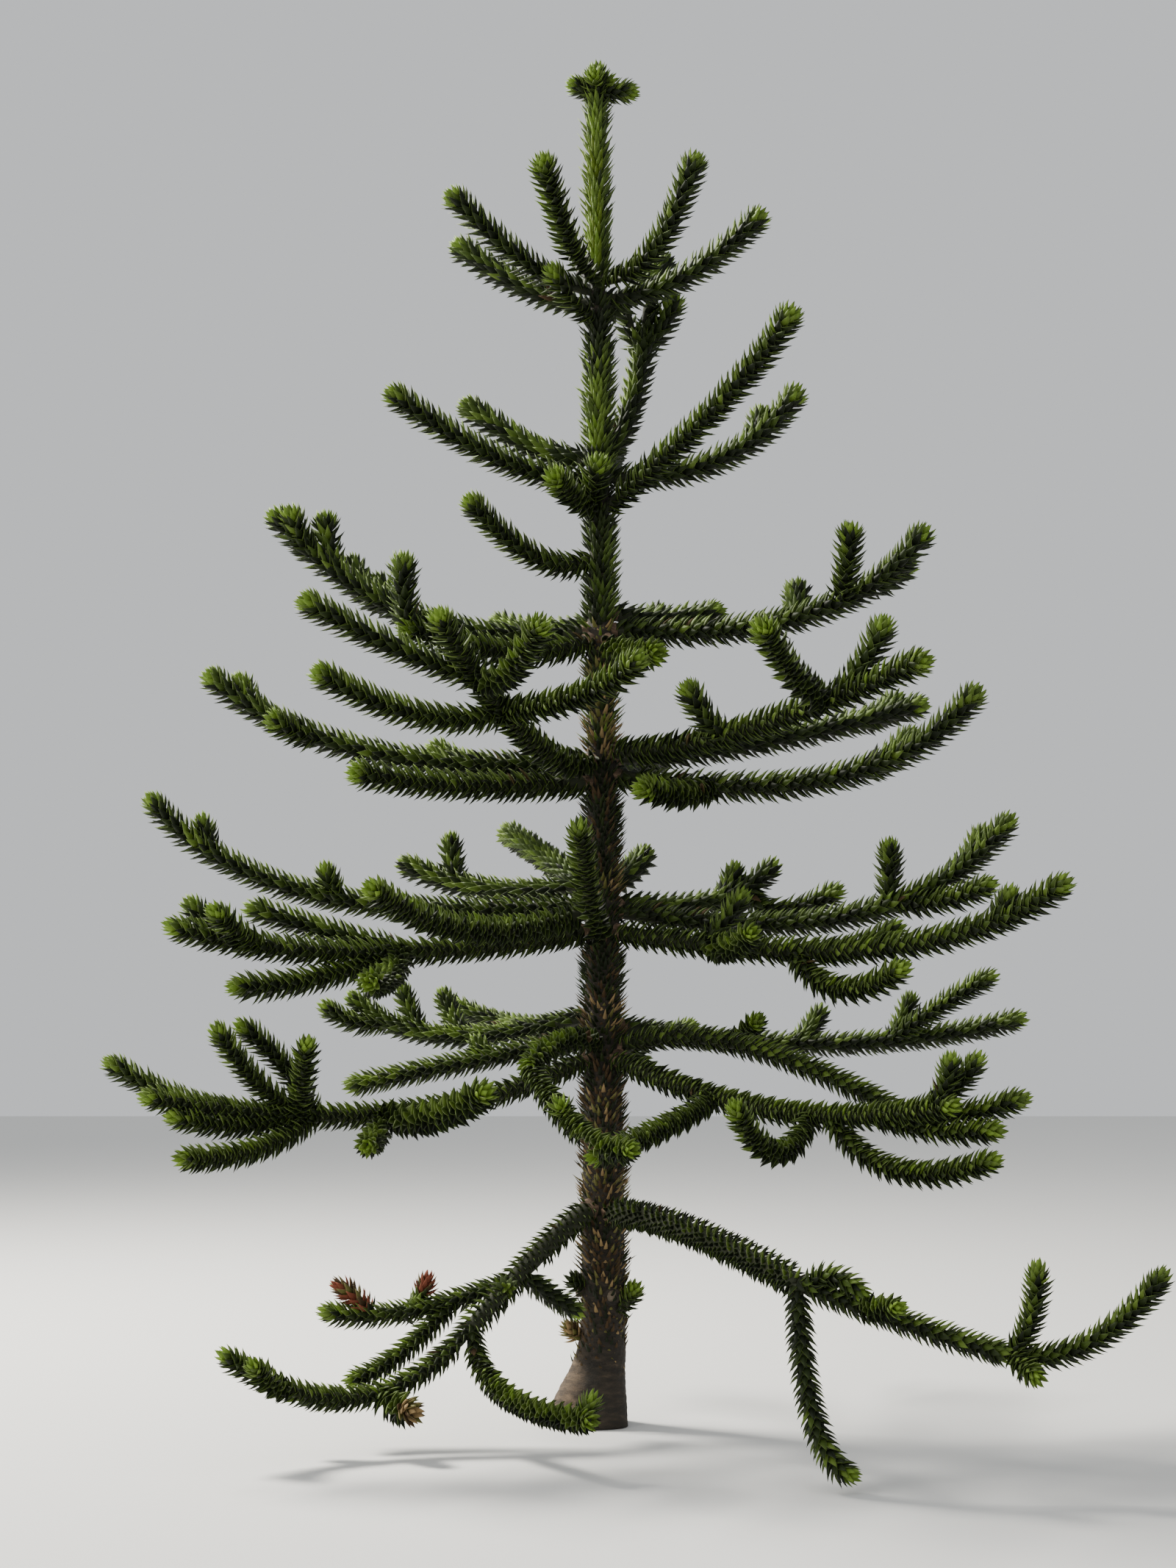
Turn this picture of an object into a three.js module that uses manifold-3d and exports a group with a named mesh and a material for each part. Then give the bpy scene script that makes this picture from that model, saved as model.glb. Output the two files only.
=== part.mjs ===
// A monkey puzzle tree about 5.3 m tall, standing on a flat cut at ground level.
// Lengths are in millimetres and angles in degrees. +Z is up, +X is to the right as the tree is seen
// and +Y is away from the viewer. Azimuth 0 is right, 90 away, 180 left and 270 toward the viewer.
import * as THREE from "three";
import { mergeVertices } from "three/addons/utils/BufferGeometryUtils.js";
import Module from "manifold-3d";

const wasm = await Module();
wasm.setup();

// Trunk
const TREE_HEIGHT = 5300;
const TUFT_HEIGHT = 170;
const TRUNK_HEIGHT = TREE_HEIGHT - TUFT_HEIGHT;
const TRUNK_FOOT_RADIUS = 86;
const TRUNK_TIP_RADIUS = 14;
const TRUNK_LEAN = 27;
const TRUNK_BOW = 4;
const TRUNK_SIDES = 8;
const TRUNK_RINGS = 40;
const FLARE_RADIUS = 54;
const FLARE_HEIGHT = 196;
const TOE_AZIMUTH = 195;
const TOE_SHARE = 1.25;
const LOBE_COUNT = 3;
const LOBE_SHARE = 0.25;
const TRUNK_LEAF_START = 430;
const TRUNK_LEAF_LENGTH = 42;

// Shoots: a slim core with stiff leaves standing out of it
const SHOOT_SIDES = 5;
const ROOT_RADIUS = 28;
const ROOT_SHARE_OF_TRUNK = 0.62;
const TIP_RADIUS = 19;
const TIP_OVERRUN = 22;
const LEAST_TAPER = 0.9;
const FORK_SHARE = 0.75;
const RING_SPACING = 145;
const LEAF_REACH = 58;
const TIP_LEAF_REACH = 50;
const LEAF_FORWARD = 0.85;
const TIP_LEAF_FORWARD = 0.6;
const LEAF_SHARES = [1, 0.7, 0.45];

// Limbs: the two thick low boughs that carry sprays at their ends
const LIMB_ROOT_RADIUS = 38;
const LIMB_TIP_RADIUS = 27;

// Joints between solids
const CLEARANCE = 0.3;
const COLLAR_LENGTH = 26;
const COLLAR_SINK = 13;
const COLLAR_FLARE = 1.3;
const COLLAR_SIDES = 4;
const LIMB_STUB_LENGTH = 62;
const SIDE_STUB_LENGTH = 90;
const LIMB_STUB_RADIUS = 21;

// Room that a leaf leaves
const NEIGHBOUR_ROOM = 4;
const OWN_FORK_ROOM = 75;
const TRUNK_LEAF_ROOM = 66;
const GROUND_ROOM = 12;
const AXIS_SAMPLE_SPACING = 30;
const SLIVER = 0.05;
const SAME_POINT = 1e-3;

// A side shoot: place along its parent (0 to 1), azimuth, reach, rise, leaving pitch, bend
function fork(at, azimuth, reach, rise, pitch = 20, bend = 0.45) {
  return { at, azimuth, reach, rise, pitch, bend };
}

// A bough from the trunk: seat height, azimuth, horizontal reach, rise to its tip, the pitch it leaves
// at, the share of its span that keeps to that pitch, and its side shoots
function bough(name, seat, azimuth, reach, rise, pitch, bend, forks = []) {
  return { name, seat, azimuth, reach, rise, pitch, bend, forks };
}

// A spray on a limb: its place along the limb (0 to 1), then as for a bough
function spray(name, limb, at, azimuth, reach, rise, pitch, bend, forks = []) {
  return { name, limb, at, azimuth, reach, rise, pitch, bend, forks };
}

const LIMBS = [
  bough("whorl1_left_limb", 800, 228, 635, -380, -20, 0.3),
  bough("whorl1_right_limb", 790, 295, 1400, -130, 3, 0.35),
];

const BOUGHS = [
  // Seventh whorl, the topmost
  bough("whorl7_left_high", 4360, 190, 560, 370, 5, 0.35),
  bough("whorl7_left_low", 4330, 152, 620, 320, 0, 0.35),
  bough("whorl7_front_stub", 4260, 222, 220, 150, 15, 0.45),
  bough("whorl7_front", 4400, 248, 540, 320, -15, 0.35),
  bough("whorl7_right_high", 4400, 325, 435, 420, -10, 0.45),
  bough("whorl7_right", 4340, 3, 625, 350, 0, 0.45),
  bough("whorl7_back_right", 4300, 52, 425, 300, 15, 0.45),

  // Sixth whorl
  bough("whorl6_left", 3620, 190, 790, 310, -10, 0.35),
  bough("whorl6_back_left", 3700, 150, 590, 290, 0, 0.35),
  bough("whorl6_front_stub", 3500, 235, 280, 80, -5, 0.45),
  bough("whorl6_back_steep", 3720, 48, 265, 690, 35, 0.35, [
    fork(0.68, 170, 70, 220, 50),
    fork(0.68, 10, 130, 220, 40),
  ]),
  bough("whorl6_front_right", 3500, 325, 840, 650, 30, 0.75),
  bough("whorl6_right", 3620, 8, 760, 380, 0, 0.65, [fork(0.67, 60, 80, 135, 35)]),
  bough("whorl6_back", 3680, 85, 760, 300, 5, 0.45),

  // A lone shoot between whorls
  bough("lone_left", 3290, 200, 500, 210, -25, 0.45),

  // Fifth whorl
  bough("whorl5_left", 3020, 176, 1250, 480, -10, 0.55, [
    fork(0.73, 150, 70, 240, 55),
    fork(0.82, 200, 100, 170, 40),
    fork(0.57, 126, 300, 210, 15),
    fork(0.5, 126, 260, 170, 15),
  ]),
  bough("whorl5_front_left", 2980, 207, 790, 0, -25, 0.45, [fork(0.93, 207, 30, 270, 70)]),
  bough("whorl5_right", 3020, 356, 1215, 380, -5, 0.75, [
    fork(0.66, 288, 100, 280, 50),
    fork(0.76, 30, 180, 110, 10),
    fork(0.53, 86, 140, 150, 25),
  ]),
  bough("whorl5_front_stub", 2970, 305, 330, -80, -35, 0.45),
  bough("whorl5_back", 2990, 68, 610, 200, -5, 0.45),
  bough("whorl5_back_right", 3090, 32, 520, 50, -10, 0.45),
  bough("whorl5_back_left", 3040, 120, 820, 120, 0, 0.5),

  // Fourth whorl
  bough("whorl4_front_left", 2500, 232, 910, 460, -20, 0.35, [
    fork(0.7, 190, 640, 270, 15),
    fork(0.53, 200, 710, 120, -20),
    fork(0.53, 322, 630, 150, 0, 0.75),
    fork(0.7, 300, 480, 140, -20, 0.55),
  ]),
  bough("whorl4_left", 2510, 174, 1510, 360, -5, 0.65, [
    fork(0.82, 150, 120, 140, 30),
    fork(0.67, 205, 190, 70, 0),
  ]),
  bough("whorl4_low_left", 2420, 204, 960, 10, -5, 0.75),
  bough("whorl4_right", 2450, 352, 1390, 310, -10, 0.75, [
    fork(0.63, 20, 220, 150, 15),
    fork(0.25, 225, 400, -30, -25),
  ]),
  bough("whorl4_front_right", 2540, 325, 1355, 250, -5, 0.35, [
    fork(0.68, 238, 500, 220, 5),
    fork(0.7, 340, 200, 280, 35),
    fork(0.36, 189, 140, 190, 35),
  ]),
  bough("whorl4_back_right", 2520, 20, 1345, 270, 5, 0.45, [fork(0.78, 45, 230, 110, 5)]),
  bough("whorl4_back", 2500, 76, 1050, 160, -5, 0.5),
  bough("whorl4_back_left", 2490, 125, 1100, 140, -5, 0.5, [fork(0.6, 150, 330, 120, 10)]),

  // Third whorl
  bough("whorl3_left", 1950, 180, 1690, 420, -5, 0.75, [
    fork(0.8, 150, 70, 150, 45),
    fork(0.52, 200, 60, 130, 45),
  ]),
  bough("whorl3_front_left", 1930, 232, 1250, 40, -15, 0.65),
  bough("whorl3_low_left", 1850, 204, 1640, 0, -10, 0.65, [
    fork(0.45, 175, 590, 170, 15, 0.75),
    fork(0.83, 170, 190, 150, 20),
    fork(0.77, 230, 250, 130, 10),
    fork(0.45, 205, 660, -130, -20, 0.65),
    fork(0.45, 262, 560, -120, -30),
  ]),
  bough("whorl3_back_left", 2040, 147, 910, 110, -10, 0.55, [fork(0.67, 109, 90, 200, 45)]),
  bough("whorl3_back", 1990, 112, 1020, 320, 20, 0.35),
  bough("whorl3_front", 1830, 260, 455, 400, 20, 0.45),
  bough("whorl3_back_stub", 2040, 62, 330, 140, 5, 0.45),
  bough("whorl3_back_right", 1960, 30, 745, 180, -5, 0.75, [
    fork(0.6, 59, 130, 140, 25),
    fork(0.75, 355, 380, 0, -60, 0.55),
  ]),
  bough("whorl3_right", 1930, 358, 1510, 360, -10, 0.75, [
    fork(0.63, 72, 20, 250, 65),
    fork(0.8, 36, 160, 180, 30),
    fork(0.65, 335, 380, 70, -5, 0.55),
  ]),
  bough("whorl3_front_right", 1850, 331, 1790, 150, -10, 0.75, [
    fork(0.82, 350, 70, 120, 40),
    fork(0.45, 350, 310, 90, -5),
    fork(0.22, 290, 390, 40, -15),
    fork(0.4, 320, 490, -60, -55, 0.65),
    fork(0.2, 10, 160, 200, 30),
  ]),

  // Second whorl
  bough("whorl2_back_left", 1530, 155, 1050, 80, -15, 0.75, [
    fork(0.65, 134, 130, 190, 35),
    fork(0.48, 117, 220, 180, 20),
    fork(0.8, 180, 260, 70, -15, 0.55),
  ]),
  bough("whorl2_left_low", 1440, 180, 910, -180, -10, 0.35, [fork(0.4, 129, 80, 70, 20)]),
  bough("whorl2_front", 1430, 245, 590, -100, 5, 0.65, [fork(0.93, 305, 640, -260, -40, 0.75)]),
  bough("whorl2_left", 1370, 208, 1750, -120, -25, 0.45, [
    fork(0.63, 195, 280, 330, 65, 0.55),
    fork(0.65, 215, 360, 320, 20),
    fork(0.67, 286, 230, 270, 30),
    fork(0.7, 185, 620, 190, -5),
    fork(0.67, 210, 480, 10, -20),
    fork(0.63, 225, 590, -130, -35),
    fork(0.48, 305, 700, 100, -10),
    fork(0.48, 264, 330, -100, -35),
  ]),
  bough("whorl2_back_stub", 1400, 46, 185, -70, -10, 0.45),
  bough("whorl2_front_right", 1370, 316, 1575, -140, -20, 0.55, [
    fork(0.32, 228, 680, -190, -25, 0.35),
    fork(0.6, 232, 480, 50, -50, 0.75),
    fork(0.93, 340, 60, 180, 50),
    fork(0.88, 350, 220, 190, 15),
    fork(0.84, 345, 430, 60, -10),
    fork(0.78, 330, 450, -40, -20),
    fork(0.65, 324, 650, -130, -55, 0.55),
  ]),
  bough("whorl2_right", 1400, 342, 1180, -280, 25, 0.35),
  bough("whorl2_back_right", 1490, 14, 1670, 30, -10, 0.55, [
    fork(0.65, 352, 410, 260, 35, 0.75),
    fork(0.65, 45, 140, 180, 30),
    fork(0.42, 49, 180, 140, 20),
    fork(0.27, 299, 190, 90, 5),
  ]),
  bough("whorl2_back", 1470, 80, 1350, -10, -5, 0.55, [fork(0.6, 50, 380, 50, 0)]),
  bough("whorl2_far_left", 1505, 117, 1300, 50, -5, 0.55, [fork(0.6, 140, 360, 100, 10)]),
];

const SPRAYS = [
  // The low left limb carries two sprays at its side and two at its end
  spray("whorl1_left_upper", "whorl1_left_limb", 0.65, 183, 695, -102, -20, 0.75, [
    fork(0.3, 207, 415, -265, -45, 0.75),
    fork(0.58, 17, 105, 130, -10, 0.5),
    fork(0.72, 165, 140, 111, 55),
  ]),
  spray("whorl1_left_inner", "whorl1_left_limb", 0.58, 28, 245, -163, -40, 0.45),
  spray("whorl1_left_lower", "whorl1_left_limb", 1, 207, 930, -35, -45, 0.65, [
    fork(0.5, 170, 180, 10, 0),
    fork(0.72, 240, 200, 110, 10),
    fork(0.38, 308, 205, -43, -35),
  ]),
  spray("whorl1_left_front", "whorl1_left_limb", 1, 302, 812, -220, -85, 0.35, [
    fork(0.9, 20, 50, 75, 50),
  ]),

  // The low right limb ends in one hanging spray and one that arches outward
  spray("whorl1_right_hanging", "whorl1_right_limb", 1, 340, 190, -605, -88, 1),
  spray("whorl1_right_outer", "whorl1_right_limb", 1, 352, 690, -220, -20, 0.75, [
    fork(0.96, 350, 90, 290, 45),
    fork(0.97, 352, 485, 270, -8, 0.5),
    fork(0.97, 300, 130, -60, -30),
    fork(0.3, 300, 200, 20, 0),
    fork(0.05, 345, 190, -30, 50, 0.6),
  ]),
];

// The crown tuft: buds that crowd round the leader's tip
const TUFT = {
  name: "crown_tuft",
  azimuth: 0,
  reach: 2,
  rise: TUFT_HEIGHT - TIP_OVERRUN,
  pitch: 89,
  bend: 0.5,
  forks: [
    fork(0.2, 262, 70, 70, 40),
    fork(0.18, 182, 102, 48, 30),
    fork(0.3, 5, 62, 45, 40),
    fork(0.16, 358, 150, 15, 20),
    fork(0.25, 85, 80, 60, 40),
  ],
};

// Shoots that spring from the lower trunk and stay part of it
const TRUNK_SHOOTS = [fork(430, 335, 90, 110, 20)];
const CUT_STUB = { height: 500, azimuth: 192, radius: 30, length: 26 };
const PRUNING_SCAR = { height: 480, azimuth: 292, radius: 34, length: 9 };

const BARK = { color: 0x6b5a48, roughness: 0.95, metalness: 0 };
const FOLIAGE = { color: 0x3f5f2c, roughness: 0.75, metalness: 0 };

function direction(azimuth, pitch) {
  const a = THREE.MathUtils.degToRad(azimuth);
  const p = THREE.MathUtils.degToRad(pitch);
  return new THREE.Vector3(Math.cos(a) * Math.cos(p), Math.sin(a) * Math.cos(p), Math.sin(p));
}

// The trunk stands a little to the right at its foot, leans back as it rises and bows slightly.
function trunkAxis(z) {
  const share = THREE.MathUtils.clamp(z / TRUNK_HEIGHT, 0, 1);
  return new THREE.Vector3(TRUNK_LEAN * (1 - share) + TRUNK_BOW * Math.sin(Math.PI * share) ** 2, 0, z);
}

// The trunk tapers to its tip and flares into root lobes, with one toe drawn out to the left.
function trunkRadius(z, azimuth) {
  const taper = TRUNK_TIP_RADIUS + (TRUNK_FOOT_RADIUS - TRUNK_TIP_RADIUS) * (1 - z / TRUNK_HEIGHT);
  const round = THREE.MathUtils.degToRad(azimuth - TOE_AZIMUTH);
  const lobes = 1 + TOE_SHARE * Math.cos(round) + LOBE_SHARE * Math.cos(LOBE_COUNT * round);
  return taper + FLARE_RADIUS * Math.exp(-((z / FLARE_HEIGHT) ** 2)) * lobes;
}

// A shoot leaves its start at its own pitch and curves to its last leaves' middle. Those leaves then
// run on a little, straight ahead. The gap is left at its root.
function shootCurve(start, shoot, gap, overrun) {
  const span = direction(shoot.azimuth, 0).multiplyScalar(shoot.reach);
  const tip = start.clone().add(span);
  tip.z += shoot.rise;
  const leaving = direction(shoot.azimuth, shoot.pitch);
  const middle = start.clone().addScaledVector(leaving, shoot.bend * start.distanceTo(tip));
  const root = start.clone().addScaledVector(leaving, gap);
  const ahead = tip.clone().sub(middle).normalize();
  return new THREE.QuadraticBezierCurve3(root, middle, tip.addScaledVector(ahead, overrun));
}

// One stretch of stem: its curve, its ring count and its radius from root (0) to tip (1)
function stretch(owner, curve, rootRadius, tipRadius, pointed) {
  const steps = Math.max(2, Math.round(curve.getLength() / RING_SPACING));
  const samples = Math.max(4, Math.ceil(curve.getLength() / AXIS_SAMPLE_SPACING));
  return {
    owner,
    curve,
    steps,
    pointed,
    axis: curve.getSpacedPoints(samples),
    radiusAt: (share) => THREE.MathUtils.lerp(rootRadius, tipRadius, share),
  };
}

// The stretches of one mass or limb: its stem first, then its side shoots
function grow(owner, start, shoot, gap, rootRadius, tipRadius, pointed) {
  const stemCurve = shootCurve(start, shoot, gap, pointed ? TIP_OVERRUN : 0);
  const stem = stretch(owner, stemCurve, rootRadius, tipRadius, pointed);
  const stretches = [stem];
  for (const side of shoot.forks) {
    const from = stem.curve.getPointAt(side.at);
    const radius = stem.radiusAt(side.at) * FORK_SHARE;
    const sideCurve = shootCurve(from, side, 0, TIP_OVERRUN);
    stretches.push(stretch(owner, sideCurve, radius, TIP_RADIUS * FORK_SHARE, true));
  }
  return stretches;
}

// A polygon run along the curve, with each ring brought to its own radius and turned half a side
// past the ring before it, so that the faces wind round the stem as the leaves do
function taperedTube(curve, steps, sides, rootRadius, radiusOf, turn) {
  const corners = [];
  for (let i = 0; i < sides; i++) {
    const angle = (2 * Math.PI * i) / sides;
    corners.push(new THREE.Vector2(Math.cos(angle), Math.sin(angle)).multiplyScalar(rootRadius));
  }
  const section = new THREE.Shape(corners);
  const tube = new THREE.ExtrudeGeometry(section, { steps, bevelEnabled: false, extrudePath: curve });
  tube.deleteAttribute("normal");
  tube.deleteAttribute("uv");
  const centres = curve.getSpacedPoints(steps);
  const position = tube.getAttribute("position");
  const point = new THREE.Vector3();
  for (let i = 0; i < position.count; i++) {
    point.fromBufferAttribute(position, i);
    const ring = nearest(centres, point);
    point.sub(centres[ring]);
    point.applyAxisAngle(curve.getTangentAt(ring / steps), turn * ring);
    point.multiplyScalar(radiusOf(ring, centres[ring], point) / rootRadius);
    point.add(centres[ring]);
    position.setXYZ(i, point.x, point.y, point.z);
  }
  return { mesh: mergeVertices(tube, SAME_POINT), centres, steps, sides };
}

function nearest(centres, point) {
  let best = 0;
  centres.forEach((centre, i) => {
    if (centre.distanceToSquared(point) < centres[best].distanceToSquared(point)) best = i;
  });
  return best;
}

// Each side face of the tube is drawn out to a point, a leaf, where the rule finds room for it.
// The rule gets the ring, the side, the point on the axis below the leaf and the way out from it.
function leafyGeometry(tube, leafPoint) {
  const { mesh, centres, steps, sides } = tube;
  const position = mesh.getAttribute("position");
  const index = mesh.getIndex().array;
  const points = [...position.array];
  const faces = [];
  const addFace = (a, b, c) => {
    if (a !== b && b !== c && c !== a) faces.push(a, b, c);
  };
  const lidCorners = 2 * 3 * (sides - 2);
  for (let i = 0; i < lidCorners; i += 3) addFace(index[i], index[i + 1], index[i + 2]);
  const corner = (i) => new THREE.Vector3().fromBufferAttribute(position, i);
  for (let i = lidCorners, face = 0; i < index.length; i += 6, face++) {
    const [a, b, d, , c] = index.slice(i, i + 5);
    const ring = face % steps;
    const side = Math.floor(face / steps);
    const below = corner(a).add(corner(b)).multiplyScalar(0.5);
    const above = corner(c).add(corner(d)).multiplyScalar(0.5);
    const leaf = leafPoint({ ring, side, below, above, from: centres[ring], to: centres[ring + 1] });
    if (leaf) {
      const p = points.length / 3;
      points.push(leaf.x, leaf.y, leaf.z);
      addFace(a, b, p);
      addFace(b, c, p);
      addFace(c, d, p);
      addFace(d, a, p);
    } else {
      addFace(a, b, d);
      addFace(b, c, d);
    }
  }
  return solidOf(points, faces);
}

function solidOf(points, faces) {
  const mesh = new wasm.Mesh({
    numProp: 3,
    vertProperties: new Float32Array(points),
    triVerts: new Uint32Array(faces),
  });
  return new wasm.Manifold(mesh);
}

// A leaf's point stands over its face, toward the far ring, at the given distance from the axis.
function tipOver(face, forward, reach) {
  const foot = face.from.clone().lerp(face.to, forward);
  const outward = face.below.clone().lerp(face.above, forward).sub(foot).normalize();
  return foot.addScaledVector(outward, reach);
}

// The distance from a point to the nearest of the stretches that pass a test
function distanceTo(point, stretches, passes) {
  let least = Infinity;
  for (const other of stretches) {
    if (!passes(other)) continue;
    for (const sample of other.axis) least = Math.min(least, sample.distanceToSquared(point));
  }
  return Math.sqrt(least);
}

// A shoot's leaf keeps to its own side of each neighbour, off the trunk and above the ground.
function shootLeaf(own, all) {
  return (face) => {
    const last = face.ring === own.steps - 1;
    const core = own.radiusAt(face.ring / own.steps);
    const reach = last ? TIP_LEAF_REACH : LEAF_REACH;
    for (const share of LEAF_SHARES) {
      const outward = core + (reach - core) * share;
      const tip = tipOver(face, last ? TIP_LEAF_FORWARD : LEAF_FORWARD, outward);
      const aside = trunkAxis(tip.z).distanceTo(tip);
      const neighbour = distanceTo(tip, all, (other) => other.owner !== own.owner);
      const family = distanceTo(tip, all, (other) => other.owner === own.owner && other !== own);
      const clearOfTrunk =
        own.owner === TUFT.name || aside > trunkRadius(tip.z, 0) + TRUNK_LEAF_LENGTH + NEIGHBOUR_ROOM;
      if (
        clearOfTrunk &&
        neighbour > outward + NEIGHBOUR_ROOM &&
        family > OWN_FORK_ROOM &&
        tip.z > GROUND_ROOM
      ) {
        return tip;
      }
    }
    return null;
  };
}

// The trunk's leaves stand on every other face and leave room for the boughs.
function trunkLeaf(all) {
  return (face) => {
    if ((face.ring + face.side) % 2) return null;
    const foot = face.from.clone().lerp(face.to, LEAF_FORWARD);
    if (foot.z < TRUNK_LEAF_START) return null;
    const tip = tipOver(face, LEAF_FORWARD, trunkRadius(foot.z, 0) + TRUNK_LEAF_LENGTH);
    return distanceTo(tip, all, () => true) > TRUNK_LEAF_ROOM ? tip : null;
  };
}

// A short round length from a point along a direction, such as a collar or a cut stub
function roundStub(from, along, length, radius, flare) {
  const geometry = new THREE.CylinderGeometry(radius, radius * flare, length, COLLAR_SIDES);
  geometry.translate(0, length / 2, 0);
  const up = new THREE.Vector3(0, 1, 0);
  geometry.applyQuaternion(new THREE.Quaternion().setFromUnitVectors(up, along));
  geometry.translate(from.x, from.y, from.z);
  geometry.deleteAttribute("normal");
  geometry.deleteAttribute("uv");
  const closed = mergeVertices(geometry, SAME_POINT);
  return solidOf(closed.getAttribute("position").array, closed.getIndex().array);
}

function stemSolid(own, all) {
  const turn = -Math.PI / SHOOT_SIDES;
  const radiusOf = (ring) => (own.pointed && ring === own.steps ? 0 : own.radiusAt(ring / own.steps));
  const tube = taperedTube(own.curve, own.steps, SHOOT_SIDES, own.radiusAt(0), radiusOf, turn);
  return leafyGeometry(tube, shootLeaf(own, all));
}

function trunkSolid(all) {
  const curve = new THREE.LineCurve3(new THREE.Vector3(), new THREE.Vector3(0, 0, TRUNK_HEIGHT));
  const radiusOf = (ring, centre, out) =>
    trunkRadius(centre.z, THREE.MathUtils.radToDeg(Math.atan2(out.y, out.x)));
  const tube = taperedTube(curve, TRUNK_RINGS, TRUNK_SIDES, TRUNK_FOOT_RADIUS, radiusOf, 0);
  const position = tube.mesh.getAttribute("position");
  for (let i = 0; i < position.count; i++) {
    position.setX(i, position.getX(i) + trunkAxis(position.getZ(i)).x);
  }
  tube.centres = tube.centres.map((centre) => trunkAxis(centre.z));
  return leafyGeometry(tube, trunkLeaf(all));
}

// The place on the trunk's skin where a bough is seated
function seatOn(height, azimuth) {
  return trunkAxis(height).addScaledVector(direction(azimuth, 0), trunkRadius(height, azimuth));
}

// Fusing can leave a sealed hollow, which is filled, or a loose scrap, which is dropped.
function wholeBody(solid) {
  const bodies = solid.decompose();
  const largest = bodies.reduce((best, body) => (body.volume() > best.volume() ? body : best));
  return largest.simplify(SLIVER);
}

function meshOf(name, solid, look) {
  const { vertProperties, triVerts } = wholeBody(solid).getMesh();
  const geometry = new THREE.BufferGeometry();
  geometry.setAttribute("position", new THREE.BufferAttribute(vertProperties, 3));
  geometry.setIndex(new THREE.BufferAttribute(triVerts, 1));
  geometry.computeVertexNormals();
  const mesh = new THREE.Mesh(geometry, new THREE.MeshStandardMaterial({ ...look }));
  mesh.name = name;
  return mesh;
}

// All axes are laid out first, so that each leaf can look for room among them.
const gap = COLLAR_LENGTH + CLEARANCE;
const plants = [];
for (const limb of LIMBS) {
  const start = seatOn(limb.seat, limb.azimuth);
  const stretches = grow(limb.name, start, limb, gap, LIMB_ROOT_RADIUS, LIMB_TIP_RADIUS, false);
  plants.push({ name: limb.name, limb: true, start, shoot: limb, radius: LIMB_ROOT_RADIUS, stretches });
}
for (const shoot of BOUGHS) {
  const start = seatOn(shoot.seat, shoot.azimuth);
  const radius = Math.min(ROOT_RADIUS, ROOT_SHARE_OF_TRUNK * trunkRadius(shoot.seat, 0));
  const tipRadius = Math.min(TIP_RADIUS, LEAST_TAPER * radius);
  const stretches = grow(shoot.name, start, shoot, gap, radius, tipRadius, true);
  plants.push({ name: shoot.name, start, shoot, radius, stretches });
}
for (const shoot of SPRAYS) {
  const limb = plants.find((plant) => plant.name === shoot.limb);
  const start = limb.stretches[0].curve.getPointAt(shoot.at);
  const stub = shoot.at < 1 ? SIDE_STUB_LENGTH : LIMB_STUB_LENGTH;
  const stretches = grow(shoot.name, start, shoot, stub + CLEARANCE, LIMB_STUB_RADIUS, TIP_RADIUS, true);
  plants.push({ name: shoot.name, limbName: shoot.limb, start, shoot, stub, stretches });
}
const tuftStart = trunkAxis(TRUNK_HEIGHT);
plants.push({
  name: TUFT.name,
  start: tuftStart,
  shoot: TUFT,
  stretches: grow(TUFT.name, tuftStart, TUFT, CLEARANCE, TRUNK_TIP_RADIUS, TIP_RADIUS * FORK_SHARE, true),
});
const trunkShoots = TRUNK_SHOOTS.map((shoot) => {
  const start = seatOn(shoot.at, shoot.azimuth).addScaledVector(direction(shoot.azimuth, 0), -ROOT_RADIUS);
  return stretch("trunk", shootCurve(start, shoot, 0, 0), ROOT_RADIUS, TIP_RADIUS, true);
});
const all = [...plants.flatMap((plant) => plant.stretches), ...trunkShoots];

const group = new THREE.Group();

// Trunk, with a collar under each bough, its own low shoots, the cut stub and the pruning scar
let trunk = trunkSolid(all);
for (const plant of plants.filter((each) => each.radius)) {
  const along = direction(plant.shoot.azimuth, plant.shoot.pitch);
  const inner = plant.start.clone().addScaledVector(along, -COLLAR_SINK);
  const length = COLLAR_LENGTH + COLLAR_SINK;
  trunk = trunk.add(roundStub(inner, along, length, plant.radius, COLLAR_FLARE));
}
for (const shoot of trunkShoots) trunk = trunk.add(stemSolid(shoot, all));
for (const mark of [CUT_STUB, PRUNING_SCAR]) {
  const along = direction(mark.azimuth, 0);
  const inner = seatOn(mark.height, mark.azimuth).addScaledVector(along, -mark.radius);
  trunk = trunk.add(roundStub(inner, along, mark.radius + mark.length, mark.radius, 1));
}
group.add(meshOf("trunk", trunk, BARK));

// Limbs and masses
for (const plant of plants) {
  let solid = plant.stretches
    .map((own) => stemSolid(own, all))
    .reduce((joined, side) => joined.add(side));
  for (const carried of plants.filter((each) => each.limbName === plant.name)) {
    const along = direction(carried.shoot.azimuth, carried.shoot.pitch);
    solid = solid.add(roundStub(carried.start, along, carried.stub, LIMB_STUB_RADIUS, 1));
  }
  group.add(meshOf(plant.name, solid, plant.limb ? BARK : FOLIAGE));
}

export default group;
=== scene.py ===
# %% [markdown]
# A monkey puzzle tree about 5.3 m tall, dressed in Blender.
# The tree is an odd one to model: it has no fine twigs. Its trunk and every shoot are covered all
# round in stiff, sharp leaves that sit in spirals, so the whole tree is one rule used many times.
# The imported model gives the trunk, two low limbs and the masses of foliage as plain solids. This
# lesson grows the same tree again from the same rule, with real bark, thousands of leaves and
# the rosettes at the shoots' ends, and each new piece takes the place of the solid it stands for.

import math
from collections import namedtuple

import bpy
import numpy as np
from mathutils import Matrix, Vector, noise


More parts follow.
